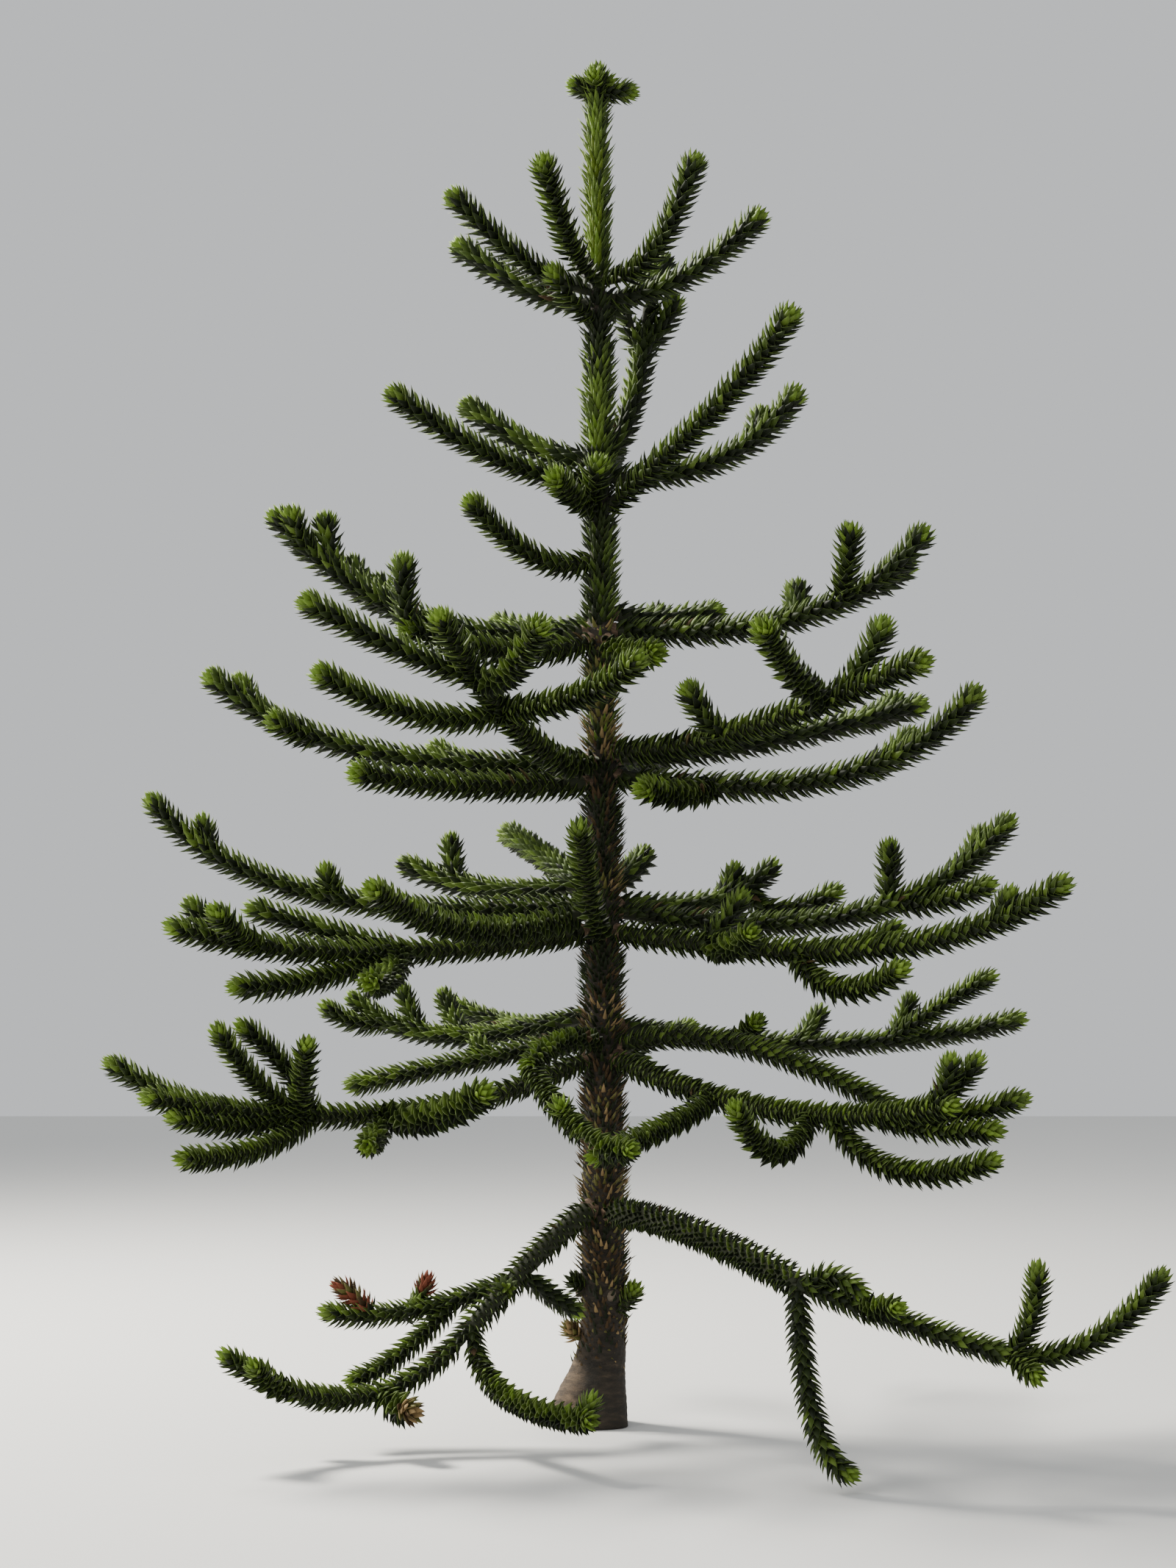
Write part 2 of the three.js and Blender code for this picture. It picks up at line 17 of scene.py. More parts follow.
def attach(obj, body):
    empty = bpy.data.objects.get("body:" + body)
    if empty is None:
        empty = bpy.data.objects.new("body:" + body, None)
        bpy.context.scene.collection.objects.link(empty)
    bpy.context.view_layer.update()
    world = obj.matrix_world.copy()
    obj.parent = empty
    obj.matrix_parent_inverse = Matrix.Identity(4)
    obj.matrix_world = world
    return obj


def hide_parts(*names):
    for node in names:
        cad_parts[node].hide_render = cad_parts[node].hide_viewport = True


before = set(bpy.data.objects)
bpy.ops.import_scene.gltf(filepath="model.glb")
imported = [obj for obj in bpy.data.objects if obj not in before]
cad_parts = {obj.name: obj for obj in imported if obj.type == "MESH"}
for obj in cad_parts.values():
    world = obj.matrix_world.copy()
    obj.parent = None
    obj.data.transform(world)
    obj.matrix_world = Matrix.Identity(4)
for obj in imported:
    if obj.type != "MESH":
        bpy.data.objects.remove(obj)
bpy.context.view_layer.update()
bpy.ops.object.select_all(action="DESELECT")

# %% [markdown]
# The camera comes first, because everything is judged through it. It stands where the photographer
# stood: 9.6 m in front of the trunk at eye height, tilted up a little. The lens follows from the
# length of the photograph's long side, 2133 pixels, and its focal length, 3385 pixels.

# %% Camera
def place_in_scene(name, data):
    obj = bpy.data.objects.new(name, data)
    bpy.context.scene.collection.objects.link(obj)
    return obj


SENSOR = 36.0
PHOTO_HEIGHT_PIXELS = 2133
FOCAL_PIXELS = 3385
EYE = (-0.034, -9.56, 1.514)
TILT_UP = 5.41

camera_data = bpy.data.cameras.new("camera")
camera_data.sensor_width = SENSOR
camera_data.lens = SENSOR * FOCAL_PIXELS / PHOTO_HEIGHT_PIXELS
camera = place_in_scene("camera", camera_data)
camera.location = EYE
camera.rotation_euler = (math.radians(90 + TILT_UP), 0, 0)
bpy.context.scene.camera = camera
print("lens", round(camera_data.lens, 1), "mm")

# %% [markdown]
# The sizes of the tree. Rows are in millimetres and degrees, as a gardener would note them, and the
# code turns them into metres. Azimuth 0 is right, 90 away, 180 left and 270 toward the viewer.
# A shoot is told by where it starts, where it points, how far it reaches out, how far it rises, the
# pitch it leaves at, and how much of its span keeps to that pitch. These are the source's own rows.

# %% Sizes of the trunk and the shoots
MM = 0.001
TREE_HEIGHT = 5300
TUFT_HEIGHT = 170
TRUNK_HEIGHT = TREE_HEIGHT - TUFT_HEIGHT
TRUNK_FOOT_RADIUS = 86
TRUNK_TIP_RADIUS = 14
TRUNK_LEAN = 27
TRUNK_BOW = 4
FLARE_RADIUS = 54
FLARE_HEIGHT = 196
TOE_AZIMUTH = 195
TOE_SHARE = 1.25
LOBE_COUNT = 3
LOBE_SHARE = 0.25

ROOT_RADIUS = 28
ROOT_SHARE_OF_TRUNK = 0.62
TIP_RADIUS = 19
TIP_OVERRUN = 22
LEAST_TAPER = 0.9
FORK_SHARE = 0.75
FORK_TIP_RADIUS = TIP_RADIUS * FORK_SHARE
LIMB_ROOT_RADIUS = 38
LIMB_TIP_RADIUS = 27
LIMB_STUB_RADIUS = 21
COLLAR_LENGTH = 26
COLLAR_SINK = 13
NEIGHBOUR_ROOM = 4
print("tree", TREE_HEIGHT, "mm tall, trunk", TRUNK_HEIGHT, "mm")

# %% What a row says
Shoot = namedtuple("Shoot", "name carrier seat azimuth reach rise pitch bend forks")


def fork(at, azimuth, reach, rise, pitch=20, bend=0.45):
    return Shoot("", "", at, azimuth, reach, rise, pitch, bend, ())


def bough(name, seat, azimuth, reach, rise, pitch, bend, *forks):
    return spray(name, "trunk", seat, azimuth, reach, rise, pitch, bend, *forks)


def spray(name, carrier, at, azimuth, reach, rise, pitch, bend, *forks):
    return Shoot(name, carrier, at, azimuth, reach, rise, pitch, bend, forks)


def whorl(number, rows):
    """The boughs of one whorl. A row is a name, six numbers, and then its forks as rows."""
    return [
        bough(f"whorl{number}_{row[0]}", *row[1:7], *(fork(*side) for side in row[7:])) for row in rows]


# %% The low limbs, and the whorls from the top down
LIMBS = [
    bough("whorl1_left_limb", 800, 228, 635, -380, -20, 0.3),
    bough("whorl1_right_limb", 790, 295, 1400, -130, 3, 0.35),
]

BOUGHS = whorl(7, [
    ("left_high", 4360, 190, 560, 370, 5, 0.35),
    ("left_low", 4330, 152, 620, 320, 0, 0.35),
    ("front_stub", 4260, 222, 220, 150, 15, 0.45),
    ("front", 4400, 248, 540, 320, -15, 0.35),
    ("right_high", 4400, 325, 435, 420, -10, 0.45),
    ("right", 4340, 3, 625, 350, 0, 0.45),
    ("back_right", 4300, 52, 425, 300, 15, 0.45),
])
BOUGHS += whorl(6, [
    ("left", 3620, 190, 790, 310, -10, 0.35),
    ("back_left", 3700, 150, 590, 290, 0, 0.35),
    ("front_stub", 3500, 235, 280, 80, -5, 0.45),
    ("back_steep", 3720, 48, 265, 690, 35, 0.35, (0.68, 170, 70, 220, 50), (0.68, 10, 130, 220, 40)),
    ("front_right", 3500, 325, 840, 650, 30, 0.75),
    ("right", 3620, 8, 760, 380, 0, 0.65, (0.67, 60, 80, 135, 35)),
    ("back", 3680, 85, 760, 300, 5, 0.45),
])
BOUGHS.append(bough("lone_left", 3290, 200, 500, 210, -25, 0.45))
BOUGHS += whorl(5, [
    ("left", 3020, 176, 1250, 480, -10, 0.55, (0.73, 150, 70, 240, 55), (0.82, 200, 100, 170, 40),
     (0.57, 126, 300, 210, 15), (0.5, 126, 260, 170, 15)),
    ("front_left", 2980, 207, 790, 0, -25, 0.45, (0.93, 207, 30, 270, 70)),
    ("right", 3020, 356, 1215, 380, -5, 0.75, (0.66, 288, 100, 280, 50), (0.76, 30, 180, 110, 10),
     (0.53, 86, 140, 150, 25)),
    ("front_stub", 2970, 305, 330, -80, -35, 0.45),
    ("back", 2990, 68, 610, 200, -5, 0.45),
    ("back_right", 3090, 32, 520, 50, -10, 0.45),
    ("back_left", 3040, 120, 820, 120, 0, 0.5),
])
BOUGHS += whorl(4, [
    ("front_left", 2500, 232, 910, 460, -20, 0.35, (0.7, 190, 640, 270, 15), (0.53, 200, 710, 120, -20),
     (0.53, 322, 630, 150, 0, 0.75), (0.7, 300, 480, 140, -20, 0.55)),
    ("left", 2510, 174, 1510, 360, -5, 0.65, (0.82, 150, 120, 140, 30), (0.67, 205, 190, 70, 0)),
    ("low_left", 2420, 204, 960, 10, -5, 0.75),
    ("right", 2450, 352, 1390, 310, -10, 0.75, (0.63, 20, 220, 150, 15), (0.25, 225, 400, -30, -25)),
    ("front_right", 2540, 325, 1355, 250, -5, 0.35, (0.68, 238, 500, 220, 5), (0.7, 340, 200, 280, 35),
     (0.36, 189, 140, 190, 35)),
    ("back_right", 2520, 20, 1345, 270, 5, 0.45, (0.78, 45, 230, 110, 5)),
    ("back", 2500, 76, 1050, 160, -5, 0.5),
    ("back_left", 2490, 125, 1100, 140, -5, 0.5, (0.6, 150, 330, 120, 10)),
])
BOUGHS += whorl(3, [
    ("left", 1950, 180, 1690, 420, -5, 0.75, (0.8, 150, 70, 150, 45), (0.52, 200, 60, 130, 45)),
    ("front_left", 1930, 232, 1250, 40, -15, 0.65),
    ("low_left", 1850, 204, 1640, 0, -10, 0.65, (0.45, 175, 590, 170, 15, 0.75),
     (0.83, 170, 190, 150, 20), (0.77, 230, 250, 130, 10), (0.45, 205, 660, -130, -20, 0.65),
     (0.45, 262, 560, -120, -30)),
    ("back_left", 2040, 147, 910, 110, -10, 0.55, (0.67, 109, 90, 200, 45)),
    ("back", 1990, 112, 1020, 320, 20, 0.35),
    ("front", 1830, 260, 455, 400, 20, 0.45),
    ("back_stub", 2040, 62, 330, 140, 5, 0.45),
    ("back_right", 1960, 30, 745, 180, -5, 0.75, (0.6, 59, 130, 140, 25), (0.75, 355, 380, 0, -60, 0.55)),
    ("right", 1930, 358, 1510, 360, -10, 0.75, (0.63, 72, 20, 250, 65), (0.8, 36, 160, 180, 30),
     (0.65, 335, 380, 70, -5, 0.55)),
    ("front_right", 1850, 331, 1790, 150, -10, 0.75, (0.82, 350, 70, 120, 40), (0.45, 350, 310, 90, -5),
     (0.22, 290, 390, 40, -15), (0.4, 320, 490, -60, -55, 0.65), (0.2, 10, 160, 200, 30)),
])
BOUGHS += whorl(2, [
    ("back_left", 1530, 155, 1050, 80, -15, 0.75, (0.65, 134, 130, 190, 35), (0.48, 117, 220, 180, 20),
     (0.8, 180, 260, 70, -15, 0.55)),
    ("left_low", 1440, 180, 910, -180, -10, 0.35, (0.4, 129, 80, 70, 20)),
    ("front", 1430, 245, 590, -100, 5, 0.65, (0.93, 305, 640, -260, -40, 0.75)),
    ("left", 1370, 208, 1750, -120, -25, 0.45, (0.63, 195, 280, 330, 65, 0.55), (0.65, 215, 360, 320, 20),
     (0.67, 286, 230, 270, 30), (0.7, 185, 620, 190, -5), (0.67, 210, 480, 10, -20),
     (0.63, 225, 590, -130, -35), (0.48, 305, 700, 100, -10), (0.48, 264, 330, -100, -35)),
    ("back_stub", 1400, 46, 185, -70, -10, 0.45),
    ("front_right", 1370, 316, 1575, -140, -20, 0.55, (0.32, 228, 680, -190, -25, 0.35),
     (0.6, 232, 480, 50, -50, 0.75), (0.93, 340, 60, 180, 50), (0.88, 350, 220, 190, 15),
     (0.84, 345, 430, 60, -10), (0.78, 330, 450, -40, -20), (0.65, 324, 650, -130, -55, 0.55)),
    ("right", 1400, 342, 1180, -280, 25, 0.35),
    ("back_right", 1490, 14, 1670, 30, -10, 0.55, (0.65, 352, 410, 260, 35, 0.75),
     (0.65, 45, 140, 180, 30), (0.42, 49, 180, 140, 20), (0.27, 299, 190, 90, 5)),
    ("back", 1470, 80, 1350, -10, -5, 0.55, (0.6, 50, 380, 50, 0)),
    ("far_left", 1505, 117, 1300, 50, -5, 0.55, (0.6, 140, 360, 100, 10)),
])

print("limbs", len(LIMBS), "boughs", len(BOUGHS), "forks", sum(len(b.forks) for b in BOUGHS))

# %% Sprays on the limbs, the crown's tuft, buds and saw marks
SPRAYS = [
    # The low left limb carries two sprays at its side and two at its end
    spray("whorl1_left_upper", "whorl1_left_limb", 0.65, 183, 695, -102, -20, 0.75,
          fork(0.3, 207, 415, -265, -45, 0.75), fork(0.58, 17, 105, 130, -10, 0.5),
          fork(0.72, 165, 140, 111, 55)),
    spray("whorl1_left_inner", "whorl1_left_limb", 0.58, 28, 245, -163, -40, 0.45),
    spray("whorl1_left_lower", "whorl1_left_limb", 1, 207, 930, -35, -45, 0.65,
          fork(0.5, 170, 180, 10, 0), fork(0.72, 240, 200, 110, 10), fork(0.38, 308, 205, -43, -35)),
    spray("whorl1_left_front", "whorl1_left_limb", 1, 302, 812, -220, -85, 0.35,
          fork(0.9, 20, 50, 75, 50)),
    # The low right limb ends in one hanging spray and one that arches outward
    spray("whorl1_right_hanging", "whorl1_right_limb", 1, 340, 190, -605, -88, 1),
    spray("whorl1_right_outer", "whorl1_right_limb", 1, 352, 690, -220, -20, 0.75,
          fork(0.96, 350, 90, 290, 45), fork(0.97, 352, 485, 270, -8, 0.5),
          fork(0.97, 300, 130, -60, -30), fork(0.3, 300, 200, 20, 0),
          fork(0.05, 345, 190, -30, 50, 0.6)),
]

# The crown tuft: buds that crowd round the leader's tip
TUFT = spray("crown_tuft", "trunk", 1, 0, 2, TUFT_HEIGHT - TIP_OVERRUN, 89, 0.5,
             fork(0.2, 262, 70, 70, 40), fork(0.18, 182, 102, 48, 30), fork(0.3, 5, 62, 45, 40),
             fork(0.16, 358, 150, 15, 20), fork(0.25, 85, 80, 60, 40))

# A shoot that springs from the lower trunk, and two marks left by the saw
TRUNK_SHOOT = bough("trunk", 430, 335, 90, 110, 20, 0.45)
CUT_STUB = {"height": 500, "azimuth": 192, "radius": 30, "length": 26}
PRUNING_SCAR = {"height": 480, "azimuth": 292, "radius": 34, "length": 9}

# Buds and one short shoot that the solids leave out. Each names its mass, which of the mass's
# stretches carries it, and how far along it sits.
SIDE_BUDS = [
    spray("whorl1_left_limb", 0, 0.71, 262, 80, 15, 10, 0.45),
    spray("whorl2_front", 1, 0.38, 240, 45, 75, 40, 0.45),
    spray("whorl6_front_stub", 0, 0.12, 290, 120, 185, 35, 0.45),
]
# Small shoots low on the trunk, the first of them dead and straw-coloured
TRUNK_BUDS = [
    bough("trunk", 320, 188, 55, 75, 30, 0.45),
    bough("trunk", 505, 200, 62, 62, 20, 0.45),
]
print("masses of foliage", len(BOUGHS) + len(SPRAYS) + 1, "extra buds", len(SIDE_BUDS + TRUNK_BUDS))


# %% [markdown]
# The rule that turns rows into wood. The trunk's axis leans a little, and its foot flares into three
# lobes with one long toe. A shoot is a bent line with three handles: its root, the place it would
# reach if it kept to its first pitch, and its tip. This is the source's rule, written again in arrays.

# %% The trunk's rule
def direction(azimuth, pitch):
    a, p = math.radians(azimuth), math.radians(pitch)
    return np.array([math.cos(a) * math.cos(p), math.sin(a) * math.cos(p), math.sin(p)])


def trunk_axis(z):
    """The middle of the trunk at each height, in metres."""
    z = np.asarray(z, float)
    share = np.clip(z / (TRUNK_HEIGHT * MM), 0, 1)
    aside = TRUNK_LEAN * (1 - share) + TRUNK_BOW * np.sin(np.pi * share) ** 2
    return np.stack([aside * MM, np.zeros_like(z), z], -1)


def trunk_radius(z, azimuth):
    """The trunk's radius at each height and azimuth, in metres and degrees."""
    z_mm = np.asarray(z, float) / MM
    taper = TRUNK_TIP_RADIUS + (TRUNK_FOOT_RADIUS - TRUNK_TIP_RADIUS) * (1 - z_mm / TRUNK_HEIGHT)
    turn = np.radians(np.asarray(azimuth, float) - TOE_AZIMUTH)
    lobes = 1 + TOE_SHARE * np.cos(turn) + LOBE_SHARE * np.cos(LOBE_COUNT * turn)
    return (taper + FLARE_RADIUS * np.exp(-((z_mm / FLARE_HEIGHT) ** 2)) * lobes) * MM


def seat_on_trunk(height, azimuth):
    """The place on the trunk's skin at a height in millimetres and an azimuth."""
    z = height * MM
    return trunk_axis(z) + direction(azimuth, 0) * trunk_radius(z, azimuth)


print("trunk's radius toward the right, at the foot, half way and at the top",
      [round(float(trunk_radius(share * TRUNK_HEIGHT * MM, 0)), 3) for share in (0, 0.5, 1)])


# %% The shoots' rule
# One stretch of stem: who owns it, its place in that mass, points along it with their distance
# from its root, its sideways direction, and its radius at both ends
Stretch = namedtuple("Stretch", "owner order path arcs across thick thin whorl")
PATH_STEP = 8 * MM
LEAST_POINTS = 12


def stretch_of(owner, order, start, shoot, thick, thin, overrun=0):
    """A shoot's stem as points 8 mm apart, from its start to an overrun past its tip."""
    tip = start + direction(shoot.azimuth, 0) * shoot.reach * MM + np.array([0, 0, shoot.rise * MM])
    leaving = direction(shoot.azimuth, shoot.pitch)
    middle = start + leaving * shoot.bend * np.linalg.norm(tip - start)
    tip = tip + (tip - middle) / np.linalg.norm(tip - middle) * overrun * MM
    count = max(LEAST_POINTS, int(np.linalg.norm(tip - start) / PATH_STEP))
    t = np.linspace(0, 1, count)[:, None]
    path = (1 - t) ** 2 * start + 2 * t * (1 - t) * middle + t**2 * tip
    arcs = np.concatenate([[0], np.cumsum(np.linalg.norm(np.diff(path, axis=0), axis=1))])
    across = direction(shoot.azimuth + 90, 0)
    return Stretch(owner, order, path, arcs, across, thick * MM, thin * MM, owner.split("_")[0])


def along(stretch, distance):
    """Points and directions at distances along a stretch."""
    slopes = np.gradient(stretch.path, stretch.arcs, axis=0)
    points, ways = (
        np.stack([np.interp(distance, stretch.arcs, values[:, i]) for i in range(3)], -1)
        for values in (stretch.path, slopes))
    return points, ways / np.linalg.norm(ways, axis=-1, keepdims=True)


def point_at(stretch, share):
    """The point at a share of a stretch's length."""
    return along(stretch, share * stretch.arcs[-1])[0]


def around(stretch, distance, turn):
    """The stem's middle, its direction, and the way out from it at each distance and turn."""
    centre, way = along(stretch, distance)
    across = np.broadcast_to(stretch.across, way.shape)
    return centre, way, np.cos(turn)[:, None] * across + np.sin(turn)[:, None] * np.cross(way, across)


def grow(shoot, start, thick, thin, overrun=TIP_OVERRUN):
    """A mass or limb: its stem first, then its side shoots."""
    stem = stretch_of(shoot.name, 0, start, shoot, thick, thin, overrun)
    whole = [stem]
    for order, side in enumerate(shoot.forks, 1):
        radius = (thick + (thin - thick) * side.seat) * FORK_SHARE
        place = point_at(stem, side.seat)
        whole.append(stretch_of(shoot.name, order, place, side, radius, FORK_TIP_RADIUS, TIP_OVERRUN))
    return whole


# %% Grow every stem
def root_radius(shoot):
    """A bough's radius where it leaves the trunk, at most a share of the trunk's own."""
    trunk_here = float(trunk_radius(shoot.seat * MM, 0)) / MM
    return min(ROOT_RADIUS, ROOT_SHARE_OF_TRUNK * trunk_here)


limbs = {}
for limb in LIMBS:
    seat = seat_on_trunk(limb.seat, limb.azimuth)
    limbs[limb.name] = grow(limb, seat, LIMB_ROOT_RADIUS, LIMB_TIP_RADIUS, 0)[0]

stretches = []
for shoot in BOUGHS:
    seat = seat_on_trunk(shoot.seat, shoot.azimuth)
    thick = root_radius(shoot)
    stretches += grow(shoot, seat, thick, min(TIP_RADIUS, LEAST_TAPER * thick))
for shoot in SPRAYS:
    stretches += grow(shoot, point_at(limbs[shoot.carrier], shoot.seat), LIMB_STUB_RADIUS, TIP_RADIUS)
top = trunk_axis(TRUNK_HEIGHT * MM)
stretches += grow(TUFT, top, TRUNK_TIP_RADIUS, FORK_TIP_RADIUS)
inner_seat = seat_on_trunk(TRUNK_SHOOT.seat, TRUNK_SHOOT.azimuth)
inner_seat = inner_seat - direction(TRUNK_SHOOT.azimuth, 0) * ROOT_RADIUS * MM
stretches += grow(TRUNK_SHOOT, inner_seat, ROOT_RADIUS, TIP_RADIUS, 0)

# %% Add the buds
FIRST_BUD_ORDER = 10


def bud_place(bud):
    """Where a bud sits: on the trunk, or along the stretch that carries it."""
    if bud.carrier == "trunk":
        return seat_on_trunk(bud.seat, bud.azimuth)
    stems = stretches + list(limbs.values())
    return point_at(next(s for s in stems if (s.owner, s.order) == (bud.name, bud.carrier)), bud.seat)


for buds in (SIDE_BUDS, TRUNK_BUDS):
    for order, bud in enumerate(buds, FIRST_BUD_ORDER):
        stretches.append(
            stretch_of(bud.name, order, bud_place(bud), bud, FORK_TIP_RADIUS, FORK_TIP_RADIUS))
all_stems = stretches + list(limbs.values())
print("stems", len(all_stems), "metres of shoot", round(sum(s.arcs[-1] for s in all_stems), 1))

# %% [markdown]
# Colours. The young leaves at a shoot's end are yellow-green, the leader is bright, and older leaves
# turn darker toward the trunk. A few low shoots have died back and are reddish brown. Light and shade
# are painted into the tones as well: leaves that face the key light get lighter tones, and leaves
# underneath, on the low limbs and near the roots of two shaded shoots get painted shade. Such colours
# have a place, so each tone is a plain leaf material of its own, and leaves are dealt their tone by
# where they stand on their shoot. The bark is different: its pattern runs on over the whole trunk.

# %% Leaf tones
# leaf_shade is the near-black tone of painted shade
TONES = {
    "leaf_shade": (0.009, 0.013, 0.005),
    "leaf_deep": (0.018, 0.028, 0.007),
    "leaf_green": (0.044, 0.072, 0.010),
    "leaf_mid": (0.090, 0.140, 0.019),
    "leaf_fresh": (0.120, 0.195, 0.023),
    "leaf_bud": (0.160, 0.250, 0.032),
    "leaf_leader": (0.085, 0.128, 0.010),
    "leaf_grey": (0.085, 0.115, 0.045),
    "leaf_edge": (0.170, 0.220, 0.070),
    "leaf_olive": (0.110, 0.105, 0.030),
    "leaf_straw": (0.260, 0.180, 0.085),
    "leaf_brown": (0.060, 0.038, 0.020),
    "leaf_rust": (0.170, 0.052, 0.030),
}
TONE_NAMES = list(TONES)
# The paler tone on the edges of a leaf of each tone, a painted highlight where light catches the narrow
# edges. Leaves not named here have no paler edge.
EDGES = {
    "leaf_shade": "leaf_green", "leaf_deep": "leaf_mid", "leaf_green": "leaf_edge",
    "leaf_mid": "leaf_edge", "leaf_fresh": "leaf_bud", "leaf_leader": "leaf_bud",
    "leaf_grey": "leaf_edge", "leaf_olive": "leaf_straw", "leaf_brown": "leaf_olive",
}
EDGE_HIGHLIGHT_TONE = np.array([TONE_NAMES.index(EDGES.get(name, name)) for name in TONE_NAMES])
DRY_LEAVES = ("leaf_straw", "leaf_brown", "leaf_rust")
# Roughness and specular level of a dry leaf and of a living one
DRY_GLOSS = (0.8, 0.1)
LIVING_GLOSS = (0.6, 0.16)


def plain_leaf(name, colour):
    material = bpy.data.materials.new(name)
    material.use_nodes = True
    shader = material.node_tree.nodes["Principled BSDF"]
    roughness, specular = DRY_GLOSS if name in DRY_LEAVES else LIVING_GLOSS
    shader.inputs["Base Color"].default_value = (*colour, 1)
    shader.inputs["Roughness"].default_value = roughness
    shader.inputs["Specular IOR Level"].default_value = specular
    return material


tone_materials = [plain_leaf(name, colour) for name, colour in TONES.items()]
print("tones", len(tone_materials))


# %% [markdown]
# Bark. Low on the left, where the long toe runs out into the sun, it is pale and tan: partly the toe's
# own colour and partly painted sunlight. Elsewhere it is dark grey-brown with lighter patches, which
# on the front and right of the foot is painted shade, and tan where a bough's collar has shed its
# leaves. The relief is real geometry, made below. The material adds what is too small for that: grain,
# fine cracks and patches. The grain is a node group, because the trunk, the limbs and the collars all
# use it with other values.

# %% Bark grain as a node group
FLATTENED = (1, 1, 3.2)
CRACK_DEPTH = 0.25


def shader_node(tree, kind, inputs, **settings):
    """A new node with its settings, and its inputs given a value or linked to another's output."""
    node = tree.nodes.new("ShaderNode" + kind)
    for key, value in settings.items():
        setattr(node, key, value)
    for key, value in inputs.items():
        if isinstance(value, bpy.types.NodeSocket):
            tree.links.new(value, node.inputs[key])
        else:
            node.inputs[key].default_value = value
    return node


def object_place(tree):
    return shader_node(tree, "TexCoord", {}).outputs["Object"]


def make_grain_group():
    group = bpy.data.node_groups.new("bark_grain", "ShaderNodeTree")
    for in_out, names in (("INPUT", ("Grain size", "Wrinkle size")), ("OUTPUT", ("Patches", "Height"))):
        for name in names:
            group.interface.new_socket(name=name, in_out=in_out, socket_type="NodeSocketFloat")
    sizes = group.nodes.new("NodeGroupInput").outputs
    results = group.nodes.new("NodeGroupOutput").inputs
    flatten = shader_node(group, "Mapping", {"Vector": object_place(group), "Scale": FLATTENED})
    flat = flatten.outputs["Vector"]
    patches = shader_node(
        group, "TexNoise", {"Vector": flat, "Scale": sizes["Wrinkle size"], "Detail": 6, "Roughness": 0.62})
    grain = shader_node(
        group, "TexNoise", {"Vector": flat, "Scale": sizes["Grain size"], "Detail": 5, "Roughness": 0.7})
    cells = shader_node(
        group, "TexVoronoi", {"Vector": flat, "Scale": sizes["Grain size"]}, feature="DISTANCE_TO_EDGE")
    crack = shader_node(group, "Math", {0: cells.outputs["Distance"], 1: CRACK_DEPTH}, operation="MINIMUM")
    total = shader_node(group, "Math", {0: crack.outputs[0], 1: grain.outputs["Fac"]}, operation="ADD")
    group.links.new(patches.outputs["Fac"], results["Patches"])
    group.links.new(total.outputs[0], results["Height"])
    return group


grain_group = make_grain_group()
print("bark grain nodes", len(grain_group.nodes))


# %% Bark materials
# Along X the bark turns from the painted sunlit pale on the left to the dark that is painted shade
PAINTED_SUNLIT_SIDE = (-0.11, -0.03)
FADE_START = 0.4
BARK_ROUGHNESS = (0.72, 0.98)
BUMP_DISTANCE = 4 * MM


def colour_ramp(tree, factor, stops):
    """The colours that a factor from 0 to 1 picks from a list of stops."""
    ramp = shader_node(tree, "ValToRGB", {"Fac": factor})
    elements = ramp.color_ramp.elements
    while len(elements) < len(stops):
        elements.new(0.5)
    for element, (place, colour) in zip(elements, stops):
        element.position = place
        element.color = (*colour, 1)
    return ramp.outputs["Color"]


def map_range(tree, value, ends, side="From"):
    """A value mapped from a range to 0 and 1, or from 0 and 1 to a range."""
    mapped = shader_node(tree, "MapRange", {"Value": value, side + " Min": ends[0], side + " Max": ends[1]})
    return mapped.outputs["Result"]


def bark_material(name, dark_stops, pale_and_sunlit_stops, pale_below, bump, grain_size, wrinkle_size):
    """Bark that is pale low down on the left, on the toe, and dark elsewhere. The pale is partly the toe's
    own colour and partly painted sunlight, and the dark on the rest of the foot is painted shade.
    """
    material = bpy.data.materials.new(name)
    material.use_nodes = True
    tree = material.node_tree
    grain = shader_node(
        tree, "Group", {"Grain size": grain_size, "Wrinkle size": wrinkle_size}, node_tree=grain_group)
    patches = grain.outputs["Patches"]
    parts = shader_node(tree, "SeparateXYZ", {"Vector": object_place(tree)}).outputs
    above = map_range(tree, parts["Z"], (pale_below * FADE_START, pale_below))
    # Pale only low on the left, partly the toe's own tan and partly painted sunlight; dark elsewhere, which
    # on the foot is painted shade
    beside = map_range(tree, parts["X"], PAINTED_SUNLIT_SIDE)
    darker = shader_node(tree, "Math", {0: above, 1: beside}, operation="MAXIMUM")
    blend = shader_node(
        tree, "Mix", {"Factor": darker.outputs[0], "A": colour_ramp(tree, patches, pale_and_sunlit_stops),
                      "B": colour_ramp(tree, patches, dark_stops)}, data_type="RGBA")
    relief = shader_node(
        tree, "Bump", {"Strength": bump, "Distance": BUMP_DISTANCE, "Height": grain.outputs["Height"]})
    shader = tree.nodes["Principled BSDF"].inputs
    tree.links.new(blend.outputs["Result"], shader["Base Color"])
    tree.links.new(map_range(tree, patches, BARK_ROUGHNESS, "To"), shader["Roughness"])
    tree.links.new(relief.outputs["Normal"], shader["Normal"])
    return material


# %% Bark for the trunk, the collars, the shoots and the old cuts
DARK_BARK = [(0.25, (0.008, 0.006, 0.004)), (0.45, (0.017, 0.013, 0.008)),
             (0.62, (0.038, 0.028, 0.018)), (0.8, (0.110, 0.078, 0.048))]
